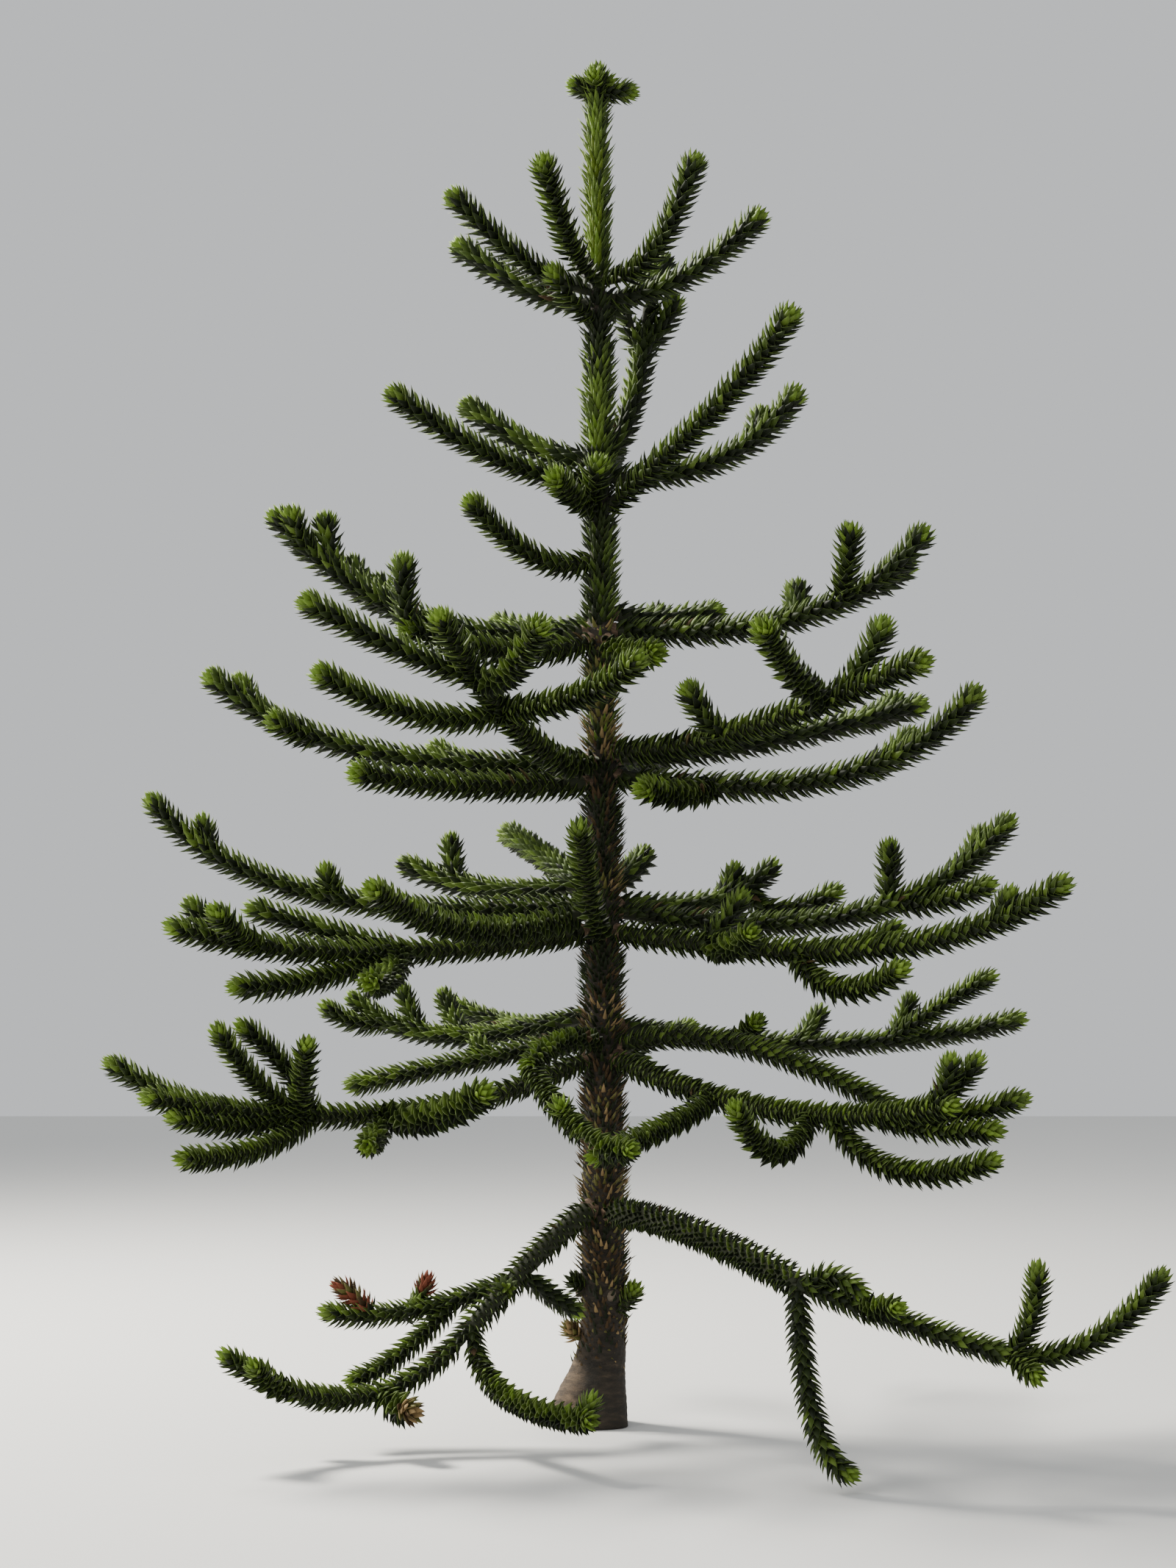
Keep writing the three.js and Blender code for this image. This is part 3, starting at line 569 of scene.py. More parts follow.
# The toe's pale tan, partly its own colour and partly painted sunlight
TOE_TAN_AND_SUNLIGHT = [(0.25, (0.028, 0.018, 0.011)), (0.45, (0.07, 0.047, 0.028)),
             (0.62, (0.155, 0.108, 0.067)), (0.8, (0.270, 0.200, 0.130))]
SCAR_BARK = [(0.25, (0.040, 0.025, 0.016)), (0.45, (0.110, 0.068, 0.042)),
             (0.62, (0.230, 0.150, 0.095)), (0.8, (0.400, 0.290, 0.190))]
# The shoots' bark is near-black green, painted shade, so that the stems read as the shadow between the
# leaves; the limbs take it too
SHADED_SHOOT_BARK = [(0.25, (0.010, 0.013, 0.005)), (0.5, (0.020, 0.025, 0.009)), (0.8, (0.045, 0.045, 0.018))]
CUT_WOOD = [(0.3, (0.100, 0.075, 0.050)), (0.55, (0.230, 0.180, 0.125)), (0.8, (0.350, 0.300, 0.230))]

trunk_bark = bark_material("trunk_bark", DARK_BARK, TOE_TAN_AND_SUNLIGHT, 0.5, 0.7, 90.0, 16.0)
collar_bark = bark_material("collar_bark", SCAR_BARK, SCAR_BARK, 0.2, 0.6, 130.0, 28.0)
shoot_bark = bark_material("shoot_bark", SHADED_SHOOT_BARK, SHADED_SHOOT_BARK, 0.1, 0.4, 160.0, 40.0)
cut_wood = bark_material("cut_wood", CUT_WOOD, CUT_WOOD, 0.2, 0.5, 200.0, 50.0)
print("bark materials", [m.name for m in (trunk_bark, collar_bark, shoot_bark, cut_wood)])


# %% [markdown]
# Modelling by hand in code. These helpers do what the mouse would: pick the vertices or faces that
# lie in a certain place, and go into edit mode with just those selected.

# %% Helpers for edit mode
KINDS = ("VERT", "EDGE", "FACE")


def pick(obj, kind, test):
    """Enters edit mode with only what passes the test selected: vertices, edges or faces."""
    bpy.ops.object.mode_set(mode="OBJECT")
    bpy.context.tool_settings.mesh_select_mode = tuple(kind == each for each in KINDS)
    mesh = obj.data
    for items in (mesh.vertices, mesh.edges, mesh.polygons):
        items.foreach_set("select", [False] * len(items))
    if kind == "VERT":
        mesh.vertices.foreach_set("select", [bool(test(v.co)) for v in mesh.vertices])
    elif kind == "EDGE":
        ends = [(mesh.vertices[e.vertices[0]].co, mesh.vertices[e.vertices[1]].co) for e in mesh.edges]
        mesh.edges.foreach_set("select", [bool(test(a, b)) for a, b in ends])
    else:
        mesh.polygons.foreach_set("select", [bool(test(f.center, f.normal)) for f in mesh.polygons])
    bpy.ops.object.mode_set(mode="EDIT")


def new_cylinder(sides, radius, length, low=0.0):
    """A closed cylinder from a height upward, with its place put into its mesh."""
    bpy.ops.mesh.primitive_cylinder_add(
        vertices=sides, radius=radius, depth=length, end_fill_type="NGON", location=(0, 0, low + length / 2))
    bpy.ops.object.transform_apply(location=True)
    return bpy.context.object


def extrude(*offset):
    bpy.ops.mesh.extrude_region_move(TRANSFORM_OT_translate={"value": offset})


def finish_mesh(obj, name):
    """Leaves edit mode, puts the object's place into its mesh and names it."""
    bpy.ops.object.mode_set(mode="OBJECT")
    bpy.ops.object.transform_apply(location=True, rotation=True, scale=True)
    obj.name = name
    obj.data.name = name
    obj.select_set(False)
    return obj


def coordinates(obj):
    """A mesh's vertices as rows of x, y and z."""
    points = np.empty(len(obj.data.vertices) * 3)
    obj.data.vertices.foreach_get("co", points)
    return points.reshape(-1, 3)


def move_vertices(obj, points):
    obj.data.vertices.foreach_set("co", np.ascontiguousarray(points, np.float64).ravel())
    obj.data.update()


# %% [markdown]
# One leaf. A monkey puzzle's leaf is a thick, stiff blade: broad where it clasps the stem, keeled
# along its back, drawn out to a needle point, and curved a little toward the shoot's end. Its two
# narrow edges get a paler tone than its sides, a painted highlight where light catches them, and
# seen edge-on they draw the slanting lines on every shoot. The leaf starts as a six-sided prism. Four
# corners are pressed together in pairs, which makes the two narrow edges and leaves one corner for the
# keel and one for the face. The far end is narrowed to the shoulder, extruded and narrowed again, then
# extruded and merged to a point. The leaf is one unit long, wide and thick, so that every copy can
# have its own size.

# %% Model the leaf
# From the foot to the point: how far along, how wide and thick there, and how far bent forward
Ring = namedtuple("Ring", "at width thick bend")
SHOULDER = Ring(0.42, 0.7, 0.95, 0.04)
NECK = Ring(0.7, 0.56, 0.62, 0.26)
POINT_BEND = 0.75
EDGE_OUT = 1.155
EDGE_PRESS = 0.36


def model_leaf(name):
    leaf = new_cylinder(6, 0.5, SHOULDER.at)
    pick(leaf, "VERT", lambda co: abs(co.x) > 0.1)
    bpy.ops.transform.resize(value=(EDGE_OUT, EDGE_PRESS, 1), center_override=(0, 0, 0))
    pick(leaf, "FACE", lambda centre, normal: normal.z < -0.9)
    bpy.ops.mesh.delete(type="ONLY_FACE")
    pick(leaf, "FACE", lambda centre, normal: normal.z > 0.9)
    bpy.ops.transform.resize(value=(SHOULDER.width, SHOULDER.thick, 1), center_override=(0, 0, SHOULDER.at))
    bpy.ops.transform.translate(value=(0, SHOULDER.bend, 0))
    extrude(0, NECK.bend - SHOULDER.bend, NECK.at - SHOULDER.at)
    bpy.ops.transform.resize(value=(NECK.width, NECK.thick, 1), center_override=(0, NECK.bend, NECK.at))
    extrude(0, POINT_BEND - NECK.bend, 1 - NECK.at)
    bpy.ops.mesh.merge(type="CENTER")
    return finish_mesh(leaf, name)


def on_edge(mesh, face):
    """Whether a face belongs to a leaf's narrow edge: it has no corner on the keel but the point."""
    corners = [mesh.vertices[i].co for i in face.vertices]
    return all(abs(co.x) > 0.01 or co.z > 0.99 for co in corners)


leaf_model = model_leaf("leaf_model")
print("leaf faces", len(leaf_model.data.polygons), "corners", len(leaf_model.data.vertices))


# %% [markdown]
# Copying the leaf. Tens of thousands of objects would choke Blender, so the copies are made as
# arrays: the model's corners are multiplied by each copy's size and turned to its directions, all at
# once, and land in one joined mesh. Each copy still has its own vertices, faces and tone.

# %% Joined copies of a small model
Copies = namedtuple("Copies", "foot side face along width thick length tone")


def template_of(obj, edge_test=lambda mesh, face: False):
    """A small model as arrays: its points, its faces' corners, each face's start, and its edges."""
    points = coordinates(obj)
    corners = np.empty(len(obj.data.loops), int)
    obj.data.loops.foreach_get("vertex_index", corners)
    starts = np.empty(len(obj.data.polygons), int)
    obj.data.polygons.foreach_get("loop_start", starts)
    edges = np.array([edge_test(obj.data, face) for face in obj.data.polygons])
    return points, corners, starts, edges


def joined_copies(name, template, copies, materials):
    """One mesh of many copies, each with its own size, directions and tone."""
    points, corners, starts, edges = template
    count = len(copies.foot)
    order = np.arange(count)[:, None]
    places = copies.foot[:, None]
    axes = ((copies.width, copies.side), (copies.thick, copies.face), (copies.length, copies.along))
    for i, (size, way) in enumerate(axes):
        places = places + points[None, :, i:i + 1] * size[:, None, None] * way[:, None]
    mesh = bpy.data.meshes.new(name)
    mesh.vertices.add(count * len(points))
    mesh.vertices.foreach_set("co", places.ravel())
    mesh.loops.add(count * len(corners))
    mesh.loops.foreach_set("vertex_index", (corners[None] + order * len(points)).ravel())
    mesh.polygons.add(count * len(starts))
    mesh.polygons.foreach_set("loop_start", (starts[None] + order * len(corners)).ravel())
    # Faces on a leaf's narrow edges take the paler tone, a painted highlight
    edge_highlight_tone = copies.tone if len(materials) == 1 else EDGE_HIGHLIGHT_TONE[copies.tone]
    tones = np.where(edges[None], edge_highlight_tone[:, None], copies.tone[:, None])
    used, slots = np.unique(tones, return_inverse=True)
    for tone in used:
        mesh.materials.append(materials[tone])
    mesh.polygons.foreach_set("material_index", slots.ravel().astype(np.int32))
    mesh.update(calc_edges=True)
    mesh.validate()
    return place_in_scene(name, mesh)


def triangles(obj):
    totals = np.empty(len(obj.data.polygons), int)
    obj.data.polygons.foreach_get("loop_total", totals)
    return int((totals - 2).sum())


leaf_template = template_of(leaf_model, on_edge)
bpy.data.objects.remove(leaf_model)
print("triangles in a leaf", len(leaf_template[1]) - 2 * len(leaf_template[2]))


# %% [markdown]
# The leaves' spiral. Each leaf stands 137.5 degrees round the stem from the one before, the golden
# angle, which spreads them evenly and makes the slanting rows that show on a monkey puzzle. Along a
# shoot they stand out at nearly 60 degrees. At its end they close up into a rosette, and the stem
# inside ends in a dome a leaf's length short of the tip, so that the leaves' points are the tip. The
# two low limbs are older wood: their leaves are narrower and less even, and don't close at the end.

# %% How leaves stand
GOLDEN_ANGLE = math.radians(137.5077)
# How leaves stand: whether they close at the end, how many a metre, how far out from the stem's
# middle they reach, their width and opening, how uneven they are, and how much painted shade darkens them
Habit = namedtuple("Habit", "closes per_metre reach width opening spread shade")
SHOOT_HABIT = Habit(True, 255, 75 * MM, 35 * MM, math.radians(57), 1, 0)
LIMB_HABIT = Habit(False, 370, 70 * MM, 23 * MM, math.radians(60), 1.6, 0.7)
# How a shoot ends: the rosette's length, its leaves a metre, and how soon they close
End = namedtuple("End", "length per_metre ease")
BLUNT_END = End(42 * MM, 700, 0.5)
DRAWN_END = End(56 * MM, 460, 0.6)
DRAWN_OUT = ("whorl1", "whorl2", "whorl3")
# The size of each whorl's leaves beside the largest, and of two shoots that differ from their whorl
LEAF_SHARES = {"whorl1": 0.78, "whorl2": 0.83, "whorl3": 0.93, "whorl4": 1, "whorl5": 1, "lone": 0.96,
               "crown": 0.85, "trunk": 0.75}
BROAD_SHOOTS = {("whorl2_left", 7): 1.05, ("whorl1_left_lower", 3): 1}
LEAF_THICKNESS = 13 * MM
BUD_LEAF_LENGTH = 50 * MM
BUD_OPENING = math.radians(12)
DOME_LENGTH = 24 * MM
DOME_LEAST = 0.15
SUNK_SHARE = 0.75
# How far leaves stray: round the stem, in their opening, roll, length and width
TURN_STRAY = 0.02
OPENING_STRAY = 0.05
LEAF_ROLL = 0.06
LENGTH_STRAY = 0.06
WIDTH_STRAY = 0.12
rng = np.random.default_rng(51)
print("leaves a metre on a shoot and on a limb", SHOOT_HABIT.per_metre, LIMB_HABIT.per_metre)


# %% The stem under the leaves
def vary(values, share):
    """The values, each up to a share larger or smaller."""
    return values * (1 + share * rng.uniform(-1, 1, len(values)))


def core_radius(stretch, distance, end):
    """The stem's radius under its leaves, with a dome where it ends."""
    share = distance / stretch.arcs[-1]
    left = np.clip((end - distance) / DOME_LENGTH, 0, 1)
    dome = np.sqrt(1 - (1 - left) ** 2)
    taper = stretch.thick + (stretch.thin - stretch.thick) * share
    return taper * (DOME_LEAST + (1 - DOME_LEAST) * dome)


def leaf_share(stretch):
    return BROAD_SHOOTS.get((stretch.owner, stretch.order), LEAF_SHARES.get(stretch.whorl, 1))


def stem_end(stretch):
    """Where the stem ends, so that the last leaves' points end at the shoot's tip."""
    return stretch.arcs[-1] - BUD_LEAF_LENGTH * leaf_share(stretch)


print("shortest stem", round(min(stem_end(stretch) for stretch in stretches), 3), "m")


# %% Tones along a shoot
def mix(**shares):
    """Shares of leaf tones, each told by the last word of its name."""
    return {"leaf_" + name: share for name, share in shares.items()}


def deal(counts, shares):
    """Deals each of so many leaves a tone, by the tones' shares."""
    names = list(shares)
    weights = np.array([shares[name] for name in names], float)
    picks = rng.choice(len(names), counts, p=weights / weights.sum())
    return np.array([TONE_NAMES.index(name) for name in names])[picks]


# Painted light and shade: leaves that face this way, up and left toward the key light, get lighter tones,
# and leaves that face away get painted shade
SUN_SIDE = (-0.5, 0.25, 0.83)
SUN_STRAY = 0.15
SUNLIT = 0.45
SHADED = -0.12
SUN_TONES = mix(green=0.4, mid=0.5, fresh=0.1)
BODY_TONES = mix(deep=0.3, green=0.45, mid=0.25)
SHADE_TONES = mix(shade=0.6, deep=0.4)
OLD_TONES = mix(shade=0.2, deep=0.4, green=0.37, brown=0.03)
FRESH_TONES = mix(mid=0.55, fresh=0.2, green=0.25)
BUD_TONES = mix(bud=0.3, fresh=0.5, mid=0.2)
DEAD_TONES = mix(rust=0.55, brown=0.25, olive=0.2)
FADED_TONES = mix(olive=0.35, straw=0.35, brown=0.3)
PALE_TONES = mix(grey=0.7, mid=0.3)
FRESH_LENGTH = 0.038
BUD_TONE_LENGTH = 0.018
OLD_SHARE = 0.3
# Shares of two shoots, from the root, painted in shade
SHADED_SHARES = {"whorl1_right_hanging": 0.75, "whorl7_left_high": 0.5}

# Shoots whose ends have died back or paled, and one low trunk bud whose end is painted in shade: the
# mass, which of its stretches, how far, and the tones
DEAD_ENDS = {
    ("whorl1_left_upper", 2): (0.06, DEAD_TONES),
    ("whorl1_left_upper", 3): (0.15, DEAD_TONES),
    ("whorl1_left_lower", 3): (0.05, FADED_TONES),
    ("whorl1_left_limb", 10): (0.1, PALE_TONES),
    ("trunk", 10): (0.1, FADED_TONES),
    ("trunk", 11): (0.1, SHADE_TONES),
}


def tones_along(stretch, distance, end, out, habit):
    """Tones by place: painted light where a leaf faces the key light, painted shade underneath, on the limbs
    and near some shoots' roots, darker with age near the root, fresh toward a tip.
    """
    count = len(distance)
    left = end - distance if habit.closes else np.full(count, np.inf)
    share = distance / end
    # Painted light and shade by which way each leaf faces, with a limb's leaves painted darker still
    sunny = out @ np.array(SUN_SIDE) + rng.normal(0, SUN_STRAY, count) - habit.shade
    tone = deal(count, BODY_TONES)
    for where, shares in (
        (sunny > SUNLIT, SUN_TONES),
        (share < OLD_SHARE * rng.uniform(0.3, 1.3, count), OLD_TONES),
        (share < SHADED_SHARES.get(stretch.owner, 0) * rng.uniform(0.7, 1.1, count), SHADE_TONES),
        (sunny < SHADED, SHADE_TONES),
        (left < FRESH_LENGTH * rng.uniform(0.5, 1.2, count), FRESH_TONES),
        (left < BUD_TONE_LENGTH * rng.uniform(0.6, 1.4, count), BUD_TONES),
    ):
        tone[where] = deal(int(where.sum()), shares)
    dead = DEAD_ENDS.get((stretch.owner, stretch.order))
    if dead:
        gone = left < dead[0]
        tone[gone] = deal(int(gone.sum()), dead[1])
    return tone


print("shoots with dead or pale ends", len(DEAD_ENDS))


# %% The leaves of one stretch
def turned_by(angle, first, second):
    """Two directions at right angles, turned by each angle in their own plane."""
    c, s = np.cos(angle)[:, None], np.sin(angle)[:, None]
    return first * c + second * s, second * c - first * s


def leaves_on(stretch, habit=SHOOT_HABIT):
    """The leaves of one stretch before any is skipped, and how far each reaches from the stem."""
    length = stretch.arcs[-1]
    share = leaf_share(stretch)
    tip = DRAWN_END if stretch.whorl in DRAWN_OUT else BLUNT_END
    if habit.closes:
        end = stem_end(stretch)
        rosette = min(tip.length, end / 2)
        body = np.arange(0, end - rosette, 1 / (habit.per_metre / share))
        distance = np.concatenate([body, np.arange(end - rosette, end, 1 / tip.per_metre)])
        left = np.clip((end - distance) / rosette, 0, 1)
        core = core_radius(stretch, distance, end)
        furthest = habit.reach * share
    else:
        end = length
        distance = np.arange(0, end, 1 / habit.per_metre)
        left = np.ones(len(distance))
        core = np.interp(distance, [0, length], [stretch.thick, stretch.thin])
        furthest = habit.reach
    count = len(distance)
    turn = np.arange(count) * GOLDEN_ANGLE + rng.uniform(0, 6.28)
    turn += rng.normal(0, TURN_STRAY * habit.spread, count)
    centre, way, out = around(stretch, distance, turn)
    ease = left**tip.ease
    opening = BUD_OPENING + (habit.opening - BUD_OPENING) * ease
    opening += rng.normal(0, OPENING_STRAY * habit.spread, count) * ease
    leaf_along, back = turned_by(opening, way, out)
    side, face = turned_by(rng.normal(0, LEAF_ROLL, count), np.cross(leaf_along, -back), -back)
    bud_length = BUD_LEAF_LENGTH * share
    full = (furthest - core * SUNK_SHARE) / math.sin(habit.opening)
    leaf_length = vary(bud_length + (full - bud_length) * ease, LENGTH_STRAY)
    foot = centre + out * (core * SUNK_SHARE)[:, None]
    width = vary(np.full(count, habit.width * share), WIDTH_STRAY)
    thickness = np.full(count, LEAF_THICKNESS * share)
    tones = tones_along(stretch, distance, end, out, habit)
    copies = Copies(foot, side, face, leaf_along, width, thickness, leaf_length, tones)
    return copies, core * SUNK_SHARE + leaf_length * np.sin(opening)


# %% [markdown]
# Room for each leaf. A mass keeps to its own space, so a leaf is skipped where its point would lie
# nearer to another mass's stem than to its own, inside the trunk, inside a sister shoot, or below
# the ground.

# %% Skip the leaves that have no room
TRUNK_CLEAR = 2 * MM
SISTER_CLEAR = 20 * MM
GROUND_CLEAR = 4 * MM
BURIED_ROOT = 90 * MM
# Neighbours are looked for among every third point of the stems, no further off than the margin
SEARCH_STEP = 3
SEARCH_MARGIN = 120 * MM
spray_names = {shoot.name for shoot in SPRAYS}
bare_paths = []
for stem in all_stems:
    buried = stem.owner in spray_names and stem.order == 0
    bare_paths.append(stem.path[stem.arcs >= (BURIED_ROOT if buried else 0)][::SEARCH_STEP])
stem_points = np.concatenate(bare_paths)
stem_owners = np.concatenate([[s.owner] * len(path) for s, path in zip(all_stems, bare_paths)])
stem_ids = np.concatenate([[i] * len(path) for i, path in enumerate(bare_paths)])
print("points that stand for the stems", len(stem_points))


def least_distance(points, others):
    """How far each point is from the nearest of the others."""
    if len(others) == 0:
        return np.full(len(points), np.inf)
    return np.sqrt(((points[:, None] - others[None]) ** 2).sum(-1).min(1))


def picked(copies, keep):
    return Copies(*(values[keep] for values in copies))


def tips_of(copies):
    bent = copies.face * (POINT_BEND * copies.thick)[:, None]
    return copies.foot + copies.along * copies.length[:, None] + bent


def with_room(stretch, copies, reach):
    """Those of a stretch's leaves whose points have room."""
    tips = tips_of(copies)
    low, high = tips.min(0) - SEARCH_MARGIN, tips.max(0) + SEARCH_MARGIN
    near = ((stem_points > low) & (stem_points < high)).all(1)
    own = stem_owners == stretch.owner
    this = stem_ids == next(i for i, s in enumerate(all_stems) if s is stretch)
    neighbour = least_distance(tips, stem_points[near & ~own])
    sister = least_distance(tips, stem_points[near & own & ~this])
    aside = np.linalg.norm((tips - trunk_axis(tips[:, 2]))[:, :2], axis=1)
    bearing = np.degrees(np.arctan2(tips[:, 1], tips[:, 0]))
    outside = (aside > trunk_radius(tips[:, 2], bearing) + TRUNK_CLEAR) | (tips[:, 2] > top[2])
    keep = (
        (neighbour > reach + NEIGHBOUR_ROOM * MM)
        & (sister > SISTER_CLEAR)
        & outside
        & (tips[:, 2] > GROUND_CLEAR)
        & (copies.foot[:, 2] > GROUND_CLEAR)
    )
    return picked(copies, keep)


def join_copies(parts):
    return Copies(*(np.concatenate(values) for values in zip(*parts)))


# %% Grow the leaves, group by group
def group_of(stretch):
    """Leaves are joined by whorl, and the three widest whorls by side too."""
    if stretch.whorl in ("whorl2", "whorl3", "whorl4"):
        shoot = next(b for b in BOUGHS if b.name == stretch.owner)
        return stretch.whorl + ("_right" if math.cos(math.radians(shoot.azimuth)) > 0 else "_left")
    return {"lone": "whorl6", "crown": "whorl7", "trunk": "whorl1"}.get(stretch.whorl, stretch.whorl)


grown = {}
owners = {}
for stretch in stretches:
    copies, reach = leaves_on(stretch)
    grown.setdefault(group_of(stretch), []).append(with_room(stretch, copies, reach))
    owners.setdefault(group_of(stretch), []).append(stretch)
for limb in limbs.values():
    copies, reach = leaves_on(limb, LIMB_HABIT)
    grown["whorl1"].append(with_room(limb, copies, reach))

leaf_pieces = {}
for key in sorted(grown):
    leaf_pieces[key] = joined_copies(key + "_leaves", leaf_template, join_copies(grown[key]), tone_materials)
    print(leaf_pieces[key].name, triangles(leaf_pieces[key]), "triangles")


# %% [markdown]
# The stems under the leaves. Each group's stems are one curve object with a round bevel. A spline
# follows each shoot, and the radius at its points gives the taper and the dome at its end. Once the
# curve is converted to a mesh, it is a plain tube that the leaves are rooted in. Its bark is painted
# near-black as shade, so that what shows between the leaves reads as shadow.

# %% Stems as bevelled curves
STEM_POINT_STEP = 30 * MM
DOME_POINTS = (0, 0.35, 0.65, 0.85, 0.97)


def stem_curve(name, group):
    curve = bpy.data.curves.new(name, "CURVE")
    curve.dimensions = "3D"
    curve.bevel_depth = 1
    curve.bevel_resolution = 2
    curve.use_fill_caps = True
    for stretch in group:
        end = stem_end(stretch)
        body = np.linspace(0, end - DOME_LENGTH, max(3, int(end / STEM_POINT_STEP)))
        distance = np.concatenate([body[:-1], end - DOME_LENGTH + DOME_LENGTH * np.array(DOME_POINTS)])
        centre, _ = along(stretch, distance)
        spline = curve.splines.new("POLY")
        spline.points.add(len(distance) - 1)
        spline.points.foreach_set("co", np.hstack([centre, np.ones((len(distance), 1))]).ravel())
        spline.points.foreach_set("radius", core_radius(stretch, distance, end))
    obj = place_in_scene(name, curve)
    bpy.context.view_layer.objects.active = obj
    obj.select_set(True)
    bpy.ops.object.convert(target="MESH")
    obj = bpy.context.object
    obj.select_set(False)
    obj.data.materials.clear()
    # Near-black bark, painted shade between the leaves
    obj.data.materials.append(shoot_bark)
    return obj


stem_pieces = {}
for key in sorted(owners):
    stem_pieces[key] = stem_curve(key + "_stems", owners[key])
print("stem triangles", sum(triangles(obj) for obj in stem_pieces.values()))


# %% [markdown]
# The trunk. Fallen leaves leave their feet behind as low cushions, in the same spiral as the leaves,
# stretched wide as the trunk thickened. The whorls swell where boughs leave, and fine wrinkles run
# round. It starts as a cylinder whose long edges are subdivided into many rings, so that each ring
# can be brought to the trunk's own radius and each vertex pushed out by the cushion under it.

# %% Leaf feet on the trunk
# From a height upward: feet a metre, the cushions' height, the leaves' length, width and opening,
# the share of leaves that are whole, and the tones of whole leaves and of stubs
Zone = namedtuple("Zone", "base feet cushion length width opening whole whole_tones stub_tones")
BARE_TONES = mix(brown=0.55, straw=0.27, olive=0.18)
DRY_TONES = mix(brown=0.45, shade=0.35, olive=0.1, straw=0.1)
TAN_TONES = mix(straw=0.4, olive=0.35, brown=0.25)
SPINE_TONES = mix(shade=0.6, deep=0.2, brown=0.2)
YOUNG_TONES = mix(olive=0.3, mid=0.3, deep=0.3, straw=0.1)
# Painted shade cast by whorl 6 on the trunk below it
CAST_SHADE_TONES = mix(shade=0.35, deep=0.45, green=0.2)
LEADER_TONES = mix(leader=0.6, mid=0.4)
YELLOW_TONES = mix(leader=0.65, fresh=0.35)
# The zones from 3700 and from 4920 take the sunlit mix, painted light
ZONES = [
    Zone(0, 900, 2.0, 20, 18, 35, 0, DRY_TONES, BARE_TONES),
    Zone(200, 1050, 3.5, 40, 18, 30, 0.4, DRY_TONES, BARE_TONES),
    Zone(330, 1100, 4.0, 46, 18, 38, 0.6, DRY_TONES, BARE_TONES),
    Zone(520, 1100, 4.5, 56, 18, 50, 0.72, DRY_TONES, BARE_TONES),
    Zone(1250, 1050, 5.0, 62, 18, 52, 0.85, SPINE_TONES, DRY_TONES),
    Zone(2050, 950, 5.0, 64, 18, 52, 0.9, SPINE_TONES, DRY_TONES),
    Zone(2560, 820, 5.5, 64, 20, 50, 0.88, YOUNG_TONES, TAN_TONES),
    Zone(3020, 620, 3.5, 70, 26, 50, 1, CAST_SHADE_TONES, BODY_TONES),
    Zone(3700, 560, 2.5, 76, 26, 50, 1, SUN_TONES, BODY_TONES),
    Zone(4330, 460, 1.5, 84, 25, 40, 1, YELLOW_TONES, BODY_TONES),
    Zone(4620, 440, 1.5, 88, 25, 44, 1, LEADER_TONES, BODY_TONES),
    Zone(4920, 500, 1.5, 88, 25, 44, 1, SUN_TONES, BODY_TONES),
]
SCALES_BELOW = 3020
LOWEST_FOOT = 2.0
TOP_MARGIN = 12


def zone_at(height):
    return [zone for zone in ZONES if zone.base <= height][-1]


feet_heights = []
height = LOWEST_FOOT
while height < TRUNK_HEIGHT - TOP_MARGIN:
    feet_heights.append(height)
    height += 1000 / zone_at(height).feet
feet_z = np.array(feet_heights) * MM
feet_turn = np.arange(len(feet_z)) * GOLDEN_ANGLE
print("leaf feet on the trunk", len(feet_z))

# %% The relief of the bark
CUSHION_SPREAD = 0.62
WHORL_HEIGHTS = (800, 1440, 1940, 2480, 3010, 3620, 4350)
WHORL_SWELL = 6 * MM
WHORL_SPREAD = 55 * MM
NEAR_FEET = 40
CUSHION_TALL = 0.9


def cushion_height(z, turn):
    """How far the leaf cushions raise the bark at each place."""
    raised = np.zeros(len(z))
    nearest = np.searchsorted(feet_z, z)
    girth = trunk_radius(z, 0)
    heights = np.interp(z / MM, [zone.base for zone in ZONES], [zone.cushion for zone in ZONES]) * MM
    per_metre = np.interp(z / MM, [zone.base for zone in ZONES], [zone.feet for zone in ZONES])
    half = np.sqrt(2 * np.pi * girth / per_metre) * CUSHION_SPREAD
    for step in range(-NEAR_FEET, NEAR_FEET + 1):
        k = np.clip(nearest + step, 0, len(feet_z) - 1)
        sideways = (turn - feet_turn[k] + np.pi) % (2 * np.pi) - np.pi
        wide = np.abs(sideways) * girth / half
        tall = np.abs(z - feet_z[k]) / half
        raised = np.maximum(raised, np.clip(1 - wide - tall * CUSHION_TALL, 0, 1))
    return np.sqrt(raised) * heights


def wrinkles(points, across, upward, size):
    """Smooth noise of a size in metres, so many times a metre across and upward."""
    return np.array([noise.noise((x * across, y * across, z * upward)) for x, y, z in points]) * size


def relief(z, turn, points):
    swell = sum(np.exp(-(((z - h * MM) / WHORL_SPREAD) ** 2)) for h in WHORL_HEIGHTS) * WHORL_SWELL
    rough = wrinkles(points, 14, 16, 2.6 * MM) + wrinkles(points, 30, 120, 1.3 * MM)
    return cushion_height(z, turn) + swell + rough


print("tallest cushion", max(zone.cushion for zone in ZONES), "mm")


# %% Model the trunk
TRUNK_SIDES = 96
TRUNK_RINGS = 620
FOOT_RELIEF_FADE = 30 * MM
FOOT_RELIEF_LEAST = 0.3
FIRST_CUTS = 9


